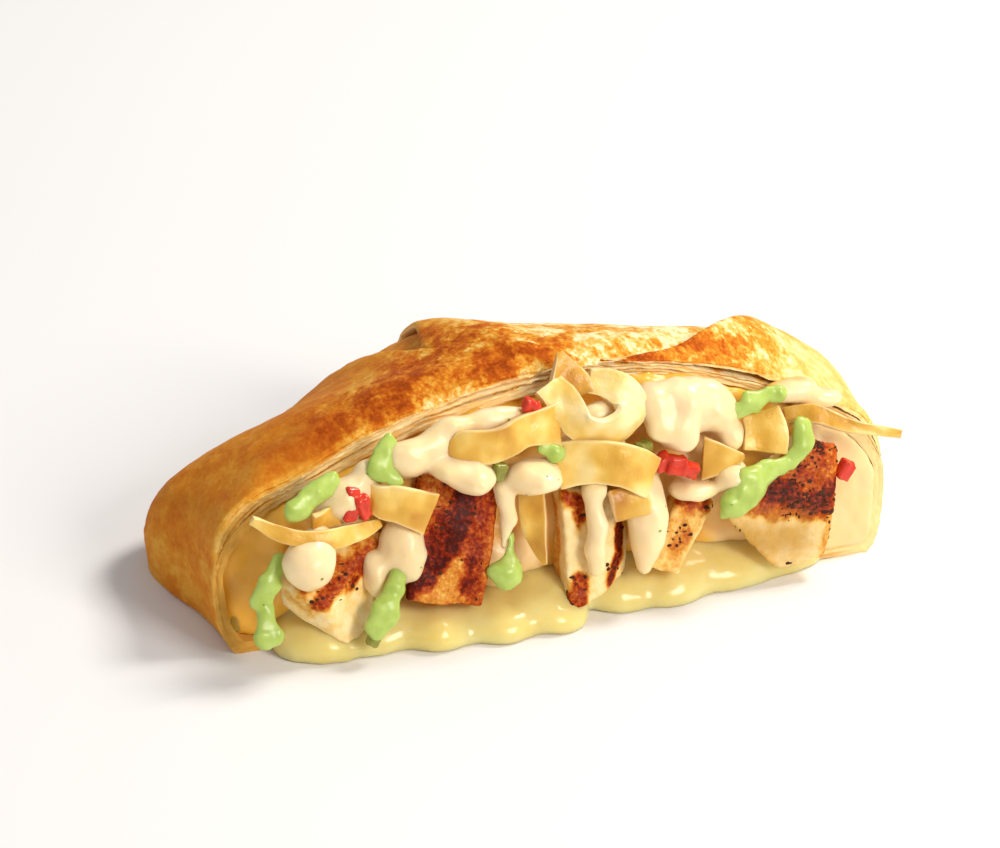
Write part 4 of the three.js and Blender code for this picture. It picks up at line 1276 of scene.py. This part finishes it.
# %% The strips' edges
# Each strip lies between its two long edges, given by places.
STRIP_THICK = 1.3  # mm
STRIPS = [
    (
        [[-68.2, 10, 33.5], [-63.2, 11, 31.5], [-58, 12, 29.9], [-51.9, 11.5, 29.2], [-45.9, 10, 28.7],
         [-41, 8, 27.6]],
        [[-67.7, 10, 31.8], [-64, 12, 28.7], [-58.9, 13, 27], [-51.9, 13, 25.5], [-44.8, 11.3, 25.6],
         [-40.1, 8, 26.2]],
    ),
    (
        [[-53.7, 10, 31.5], [-49.7, 8, 32.2], [-44.8, 7, 32.1], [-40.5, 6, 31.5]],
        [[-57.2, 11, 28.4], [-50.5, 9, 28.2], [-44.9, 8, 27.8], [-40.9, 7, 27.5]],
    ),
    (
        [[-42.7, 7, 35.5], [-39.5, 9, 35.5], [-35.9, 10, 34.9], [-31.7, 10, 32.5]],
        [[-42, 8, 32], [-40.5, 10.5, 28.7], [-35.9, 11.5, 27.2], [-28.5, 11, 24]],
    ),
    (
        [[-24.9, 8, 41.2], [-22.3, 9, 44.1], [-15.1, 11, 44.4], [-9, 10, 45.9], [-3.7, 8, 45.6]],
        [[-24.6, 9, 39], [-22.2, 11, 37.4], [-16, 12, 37.4], [-8.9, 11.5, 39.4], [1.8, 9, 38.2]],
    ),
    (
        [[1.3, 4.5, 49.8], [4.1, 8.5, 47.1], [4.7, 11.5, 44.4], [8, 12.5, 43.6], [10.7, 11.5, 44.6],
         [10.4, 9.5, 45.8], [8.5, 7.5, 46], [6.6, 6, 46]],
        [[-5, 6.5, 48.5], [-1.9, 8.5, 43.7], [1.6, 10, 38.9], [9.5, 11, 37.4], [16.8, 9.5, 40],
         [18.1, 8, 45.2], [13.6, 6, 49.6], [8.1, 4.5, 50.6]],
    ),
    ([[1.3, 3, 54.2], [-1.2, 5, 50.3], [-1.8, 6, 46.5]], [[2.4, 3, 54], [6.7, 5, 48.7], [8, 6, 45.5]]),
    (
        [[-1, 8, 38.2], [3.1, 10, 39.1], [8, 12, 38.9], [13.4, 12.3, 37.3], [18.1, 10.5, 33.5]],
        [[-3.1, 10, 28.7], [2, 12, 29.9], [7.2, 13.5, 30.1], [12.3, 14, 28.4], [17.6, 12.8, 24.8]],
    ),
    (
        [[8.1, 11.5, 29.4], [8.3, 12.5, 26.4], [9.4, 12, 22.7]],
        [[16.2, 11.8, 27.3], [16.8, 12.5, 24.6], [16.8, 11.8, 21.1]],
    ),
    (
        [[-9.6, 6, 28.4], [-9.8, 7.5, 22.3], [-8.2, 9, 18.1], [-6.6, 11, 14.5]],
        [[-4.6, 8, 28.6], [-5.1, 10, 22.6], [-5.6, 11, 17.6], [-5.9, 11.3, 14.1]],
    ),
    (
        [[30.5, 7.5, 34.7], [34.6, 8.8, 32.9], [39.2, 9.5, 30.3]],
        [[30.1, 9.5, 25.6], [34.2, 10, 26.8], [38.9, 9.7, 29]],
    ),
    ([[41.1, 5, 35.9], [40.7, 7, 32], [39.9, 8, 27.8]], [[48.5, 6, 37.8], [49.6, 8, 34], [48.8, 8.5, 30.6]]),
    (
        [[50.5, 3, 35.6], [56.3, 5, 36.3], [62.3, 8, 33.9], [68.3, 9.5, 32.2], [74.6, 10, 30.5]],
        [[50.8, 5, 32.7], [56.5, 7.5, 33.2], [62.8, 9.5, 31.3], [68.5, 10.3, 30.1], [74.2, 10.6, 28.8]],
    ),
]
print(len(STRIPS), "strips")

# %% A strip's path as an object
PATH_POINTS = 48


def path_object(one, other):
    """A strip's middle line as edges, whose points know its half width and which way its flat side faces."""
    pairs = smooth_line([[*place(a), *place(b)] for a, b in zip(one, other)], PATH_POINTS)
    line = (pairs[:, :3] + pairs[:, 3:]) / 2
    flat = (pairs[:, :3] - pairs[:, 3:]) / 2
    normal = np.cross(np.gradient(line, axis=0), flat)
    normal /= np.linalg.norm(normal, axis=1)[:, None]
    mesh = bpy.data.meshes.new("path")
    mesh.from_pydata(settle(line).tolist(), [(i, i + 1) for i in range(len(line) - 1)], [])
    mark(mesh, "half_wide", np.linalg.norm(flat, axis=1) * MM)
    facing = mesh.attributes.new("facing", "FLOAT_VECTOR", "POINT")
    facing.data.foreach_set("vector", normal.astype(np.float32).ravel())
    return new_object("path", mesh)


# %% Helpers for Geometry Nodes
def new_tree(name, inputs):
    """A tree with its inputs, by name and kind: (the tree, what it is given)."""
    tree = bpy.data.node_groups.new(name, "GeometryNodeTree")
    for socket, kind in {"Geometry": "Geometry", **inputs, "Material": "Material"}.items():
        tree.interface.new_socket(socket, in_out="INPUT", socket_type="NodeSocket" + kind)
    tree.interface.new_socket("Geometry", in_out="OUTPUT", socket_type="NodeSocketGeometry")
    return tree, tree.nodes.new("NodeGroupInput").outputs


def stored(tree, name, kind="FLOAT"):
    """A mark that the points carry."""
    return output(tree, "GeometryNodeInputNamedAttribute", {"Name": name}, data_type=kind)


def end_tree(tree, given, drawn):
    """Makes what the tree has drawn real, gives it the material and sends it out."""
    real = output(tree, "GeometryNodeRealizeInstances", {"Geometry": drawn})
    done = output(tree, "GeometryNodeSetMaterial", {"Geometry": real, "Material": given["Material"]})
    add(tree, "NodeGroupOutput", {0: done})
    return tree


def run_tree(piece, tree, values):
    """Adds a tree to an object as a modifier, with its inputs set by the identifiers of their sockets."""
    modifier = piece.modifiers.new(tree.name, "NODES")
    modifier.node_group = tree
    for item in tree.interface.items_tree:
        if item.in_out == "INPUT" and item.name in values:
            modifier[item.identifier] = values[item.name]


def baked(source, name):
    """The evaluated object as a plain mesh in a new object. The source is removed."""
    bpy.context.view_layer.update()
    evaluated = source.evaluated_get(bpy.context.evaluated_depsgraph_get())
    mesh = bpy.data.meshes.new_from_object(evaluated)
    mesh.name = name
    bpy.data.objects.remove(source)
    return new_object(name, mesh)


# %% A node tree that draws a ribbon along a path
def ribbon_tree():
    """Sweeps a line along a path of edges, as wide as the path's marks say, and bends it by noise."""
    tree, given = new_tree("ribbon_along_path", dict.fromkeys(("Step", "Warp", "Warp size", "Seed"), "Float"))
    half = stored(tree, "half_wide")
    curve = output(tree, "GeometryNodeMeshToCurve", {"Mesh": given["Geometry"]})
    facing = {"Curve": curve, "Normal": stored(tree, "facing", "FLOAT_VECTOR")}
    curve = output(tree, "GeometryNodeSetCurveNormal", facing, mode="FREE")
    curve = output(tree, "GeometryNodeSetCurveRadius", {"Curve": curve, "Radius": half})
    stepped = {"Curve": curve, "Length": given["Step"]}
    curve = output(tree, "GeometryNodeResampleCurve", stepped, mode="LENGTH")
    line = output(tree, "GeometryNodeCurvePrimitiveLine", {"Start": (0, -1, 0), "End": (0, 1, 0)})
    line = output(tree, "GeometryNodeResampleCurve", {"Curve": line, "Count": 11}, mode="COUNT")
    spot = add(tree, "ShaderNodeSeparateXYZ", {0: output(tree, "GeometryNodeInputPosition")})
    aside = {"Geometry": line, "Name": "aside", "Value": spot.outputs["Y"]}
    line = output(tree, "GeometryNodeStoreNamedAttribute", aside, data_type="FLOAT", domain="POINT")
    ribbon = output(tree, "GeometryNodeCurveToMesh", {"Curve": curve, "Profile Curve": line, "Scale": half})
    wave = {"Vector": output(tree, "GeometryNodeInputPosition"), "W": given["Seed"]}
    wave |= {"Scale": given["Warp size"], "Detail": 1.0}
    wave = output(tree, "ShaderNodeTexNoise", wave, noise_dimensions="4D")
    amount = calc(tree, "MULTIPLY", calc(tree, "SUBTRACT", wave, 0.5), given["Warp"])
    push = {0: output(tree, "GeometryNodeInputNormal"), "Scale": amount}
    push = output(tree, "ShaderNodeVectorMath", push, operation="SCALE")
    bent = output(tree, "GeometryNodeSetPosition", {"Geometry": ribbon, "Offset": push})
    return end_tree(tree, given, bent)


# %% Fried tortilla material and pieces
FRYING = [(0.0, "#ac661a"), (0.22, "#c98f2c"), (0.42, "#dfaf46"), (0.56, "#edc869"), (0.8, "#f9e4a8")]
# How much darker each strip is, by its number: most are fried darker or paler, and strip 5 is painted paler
# against the shade that falls on it.
FRY_AND_LIGHT = {2: 0.1, 4: 0.03, 5: -0.14, 6: 0.2, 7: -0.04, 8: 0.15, 9: 0.1, 10: 0.14, 12: 0.08}
EDGE_ROUND = 0.25  # mm


def fried_corn(tree, coords):
    """Uneven tones, darker with a mark of how fried each strip is, which also paints strip 5 paler against
    its shade, and paler towards the long edges, with blisters all over.
    """
    level = calc(tree, "SUBTRACT", noise(tree, coords, 8, 2.0), mark_at(tree, "deep"))
    aside = mark_at(tree, "aside")
    rim = stretched(tree, calc(tree, "MULTIPLY", aside, aside), 0.72, 1.0, top=0.4)
    colour = between(tree, rim, ramped(tree, level, FRYING), "#fff0c4")
    return colour, bumps(tree, noise(tree, coords, 1.5, 4.0, 0.6), 0.4, 0.5)


# Fried masa: deep yellow, dry and slightly oily.
fried = material(
    "fried_corn_tortilla", fried_corn, (0.15, (1.0, 0.7, 0.3), 1.5), roughness=0.3, specular=0.45
)
ribbons = ribbon_tree()
bend = {"Step": 1.0 * MM, "Warp": 2.4 * MM, "Warp size": per_mm(5), "Material": fried}
for number, edges in enumerate(STRIPS, start=1):
    line = path_object(*edges)
    run_tree(line, ribbons, {**bend, "Seed": float(number)})
    thick = line.modifiers.new("thickness", "SOLIDIFY")
    thick.thickness = STRIP_THICK * MM
    thick.offset = 0
    rounding = line.modifiers.new("round_edges", "BEVEL")
    rounding.width = EDGE_ROUND * MM
    rounding.segments = 2
    strip = baked(line, f"fried_strip_{number}")
    mark(strip.data, "deep", np.full(len(strip.data.vertices), FRY_AND_LIGHT.get(number, 0.0)))
    dress(strip, fried, "fried_tortilla", f"tortilla_strip_{number}")

# %% [markdown]
# ## Specks
#
# Coarse black pepper sticks to the chicken, and flecks of herb lie in the sauces. A bump or a speckled
# colour would do from far away, but real specks catch the light and stand out at an edge. All are scattered
# by one Geometry Nodes tree: a mark on the surface says how thickly, and each speck is a small stone of 20
# faces with its own size.


# %% A node tree that scatters specks on a surface
def speck_tree():
    """Scatters small stones on a surface, as thickly as its mark says."""
    sockets = {"Density": "Float", "Smallest": "Vector", "Largest": "Vector", "Seed": "Int"}
    tree, given = new_tree("specks_on_surface", sockets)
    spread = {"Mesh": given["Geometry"], "Seed": given["Seed"]}
    spread["Density"] = calc(tree, "MULTIPLY", stored(tree, "thickly"), given["Density"])
    spots = add(tree, "GeometryNodeDistributePointsOnFaces", spread, distribute_method="RANDOM")
    size = {0: given["Smallest"], 1: given["Largest"], "Seed": given["Seed"]}
    stones = {
        "Points": spots.outputs[0],
        "Instance": output(tree, "GeometryNodeMeshIcoSphere", {"Radius": 0.5, "Subdivisions": 1}),
        "Rotation": spots.outputs["Rotation"],
        "Scale": output(tree, "FunctionNodeRandomValue", size, data_type="FLOAT_VECTOR"),
    }
    return end_tree(tree, given, output(tree, "GeometryNodeInstanceOnPoints", stones))


# %% Scatter them
specks = speck_tree()


def sprinkle(name, carriers, density, smallest, largest, seed, tones, slot):
    """Specks on the front of several surfaces, given as (points, faces, how thickly). tones is the name of
    their material, and its dark and light colour."""
    starts = np.cumsum([0] + [len(points) for points, _, _ in carriers])
    points = np.concatenate([points for points, _, _ in carriers])
    faces = np.concatenate([faces + start for (_, faces, _), start in zip(carriers, starts)])
    thickly = np.concatenate([np.broadcast_to(share, len(points)) for points, _, share in carriers])
    thickly *= (points[:, 1] < -1.5) * rise(-0.3, 0.5, rough(points, 5, seed))
    dry = material(tones[0], two_tones(*tones[1:], 1.5, 1.0), roughness=0.6, specular=0.2)
    carrier = mesh_piece("carrier", points, faces, {"thickly": thickly})
    sizes = {"Smallest": [s * MM for s in smallest], "Largest": [s * MM for s in largest]}
    run_tree(carrier, specks, {"Density": density / MM**2, "Seed": seed, "Material": dry, **sizes})
    return dress(baked(carrier, name), dry, slot)


PEPPERED = {"chicken_1": 0.6, "chicken_2": 0.25, "chicken_3": 1.0, "chicken_4": 3.2, "chicken_5": 1.8}
peppered = []
for name, share in PEPPERED.items():
    points, faces, sear = chunk_parts[name]
    peppered.append((points, faces, share * (0.06 + rise(0.2, 0.75, sear))))
sprinkle(
    "coarse_pepper", peppered, 0.6, (0.3, 0.25, 0.15), (1.5, 1.1, 0.5), 3,
    ("ground_black_pepper", "#20110a", "#5c2c12"), "grilled_chicken",
)
sprinkle(
    "herb_flecks", [(cream_points, cream_faces, 0.5), (green_points, green_faces, 0.8)], 0.03,
    (0.3, 0.3, 0.15), (1.1, 0.8, 0.3), 8, ("dried_herb", "#6c7a26", "#a9b150"), "sauce",
)

# %% [markdown]
# ## Red pepper and green chile
#
# Bits of pepper and chile, soft from cooking: one or several dice melted together, with an uneven skin.
# They are glossy and taut outside and wet where they were cut. A cube with a bevel would look like plastic,
# so they are fields too, in which corners round off and dice melt together by themselves.

# %% Dice
RED = {
    "red_pepper_1": [
        dict(at=[-46.7, 9.2, 32.5], size=[2.9, 2.4, 6.8], turn=[0, 10, 10], seed=1),
        dict(at=[-44.2, 9.6, 31.5], size=[2.8, 2.4, 5.2], turn=[8, -16, 20], seed=11),
    ],
    "red_pepper_2": [
        dict(at=[-7.3, 8.5, 46.9], size=[2.2, 2, 2.8], turn=[20, 25, 0], seed=2),
        dict(at=[-5.8, 8.7, 46.2], size=[2.4, 2, 2.2], turn=[0, -20, 20], seed=12),
    ],
    "red_pepper_3": [
        dict(at=[20.8, 10, 31.3], size=[3.8, 2.6, 3], turn=[10, -20, 10], seed=3),
        dict(at=[23.7, 10.4, 30.7], size=[4, 2.8, 3.8], turn=[0, 15, 0], seed=13),
        dict(at=[26.8, 10, 28.9], size=[4, 2.6, 3.2], turn=[20, 28, 0], seed=23),
    ],
    "red_pepper_4": [dict(at=[63.2, 6, 21.6], size=[3.6, 2.6, 4.2], turn=[0, 38, 10], seed=4)],
}
GREEN = {
    "green_chile_1": [dict(at=[-15.4, 11.3, 35.2], size=[2.6, 2.4, 3.6], turn=[0, 10, 20], seed=11)],
    "green_chile_2": [dict(at=[17, 9.5, 34.8], size=[3.4, 2.6, 2.6], turn=[10, 0, 30], seed=12)],
    "green_chile_3": [dict(at=[-44.6, 12.3, 5.3], size=[2.6, 2.4, 2.6], turn=[0, 30, 0], seed=13)],
}
print("red dice:", {name: len(parts) for name, parts in RED.items()}, "green bits:", len(GREEN))

# %% The skin of the dice, and the pieces
DICE_CELL = 0.25  # mm, of the grid that the skin is laid on
DICE_ROUND = 0.6  # mm


def dice_field(points, at, size, turn, seed):
    """One die with round edges and an uneven skin."""
    own = turned(points, at, turn)
    outside = np.abs(own) - (np.array(size) / 2 - DICE_ROUND)
    box = np.linalg.norm(np.maximum(outside, 0), axis=-1) + np.minimum(outside.max(axis=-1), 0) - DICE_ROUND
    return box - 0.35 * rough(own, 2.4, 60 + seed) - 0.18 * rough(own, 1.0, 70 + seed)


def bits_skin(parts):
    """The skin of one or several dice that stick together."""
    middles = np.array([place(part["at"]) for part in parts])
    reach = max(np.linalg.norm(part["size"]) for part in parts) / 2 + 1
    bounds = zip(middles.min(axis=0) - reach, middles.max(axis=0) + reach)
    axes = tuple(np.arange(low, high, DICE_CELL) for low, high in bounds)
    points = grid_points(axes)
    field = np.full(points.shape[:-1], FAR)
    for part in parts:
        field = melt(field, dice_field(points, **part), 0.4)
    return skin(field, axes)


def wet_bits(all_parts, name, dark, light, slot):
    """Cooked pepper: a taut, wet skin over flesh that lets some light through."""
    wet = material(name, two_tones(dark, light, 2, 3.0), (0.2, (1.0, 0.4, 0.2), 1.0), roughness=0.2, ior=1.45)
    for node, parts in all_parts.items():
        dress(mesh_piece(node + "_bits", *bits_skin(parts)), wet, slot, node)


wet_bits(RED, "cooked_red_pepper", "#a8160f", "#ee4a2a", "red_pepper")
wet_bits(GREEN, "cooked_green_chile", "#5f5f1c", "#a8a848", "green_chile")
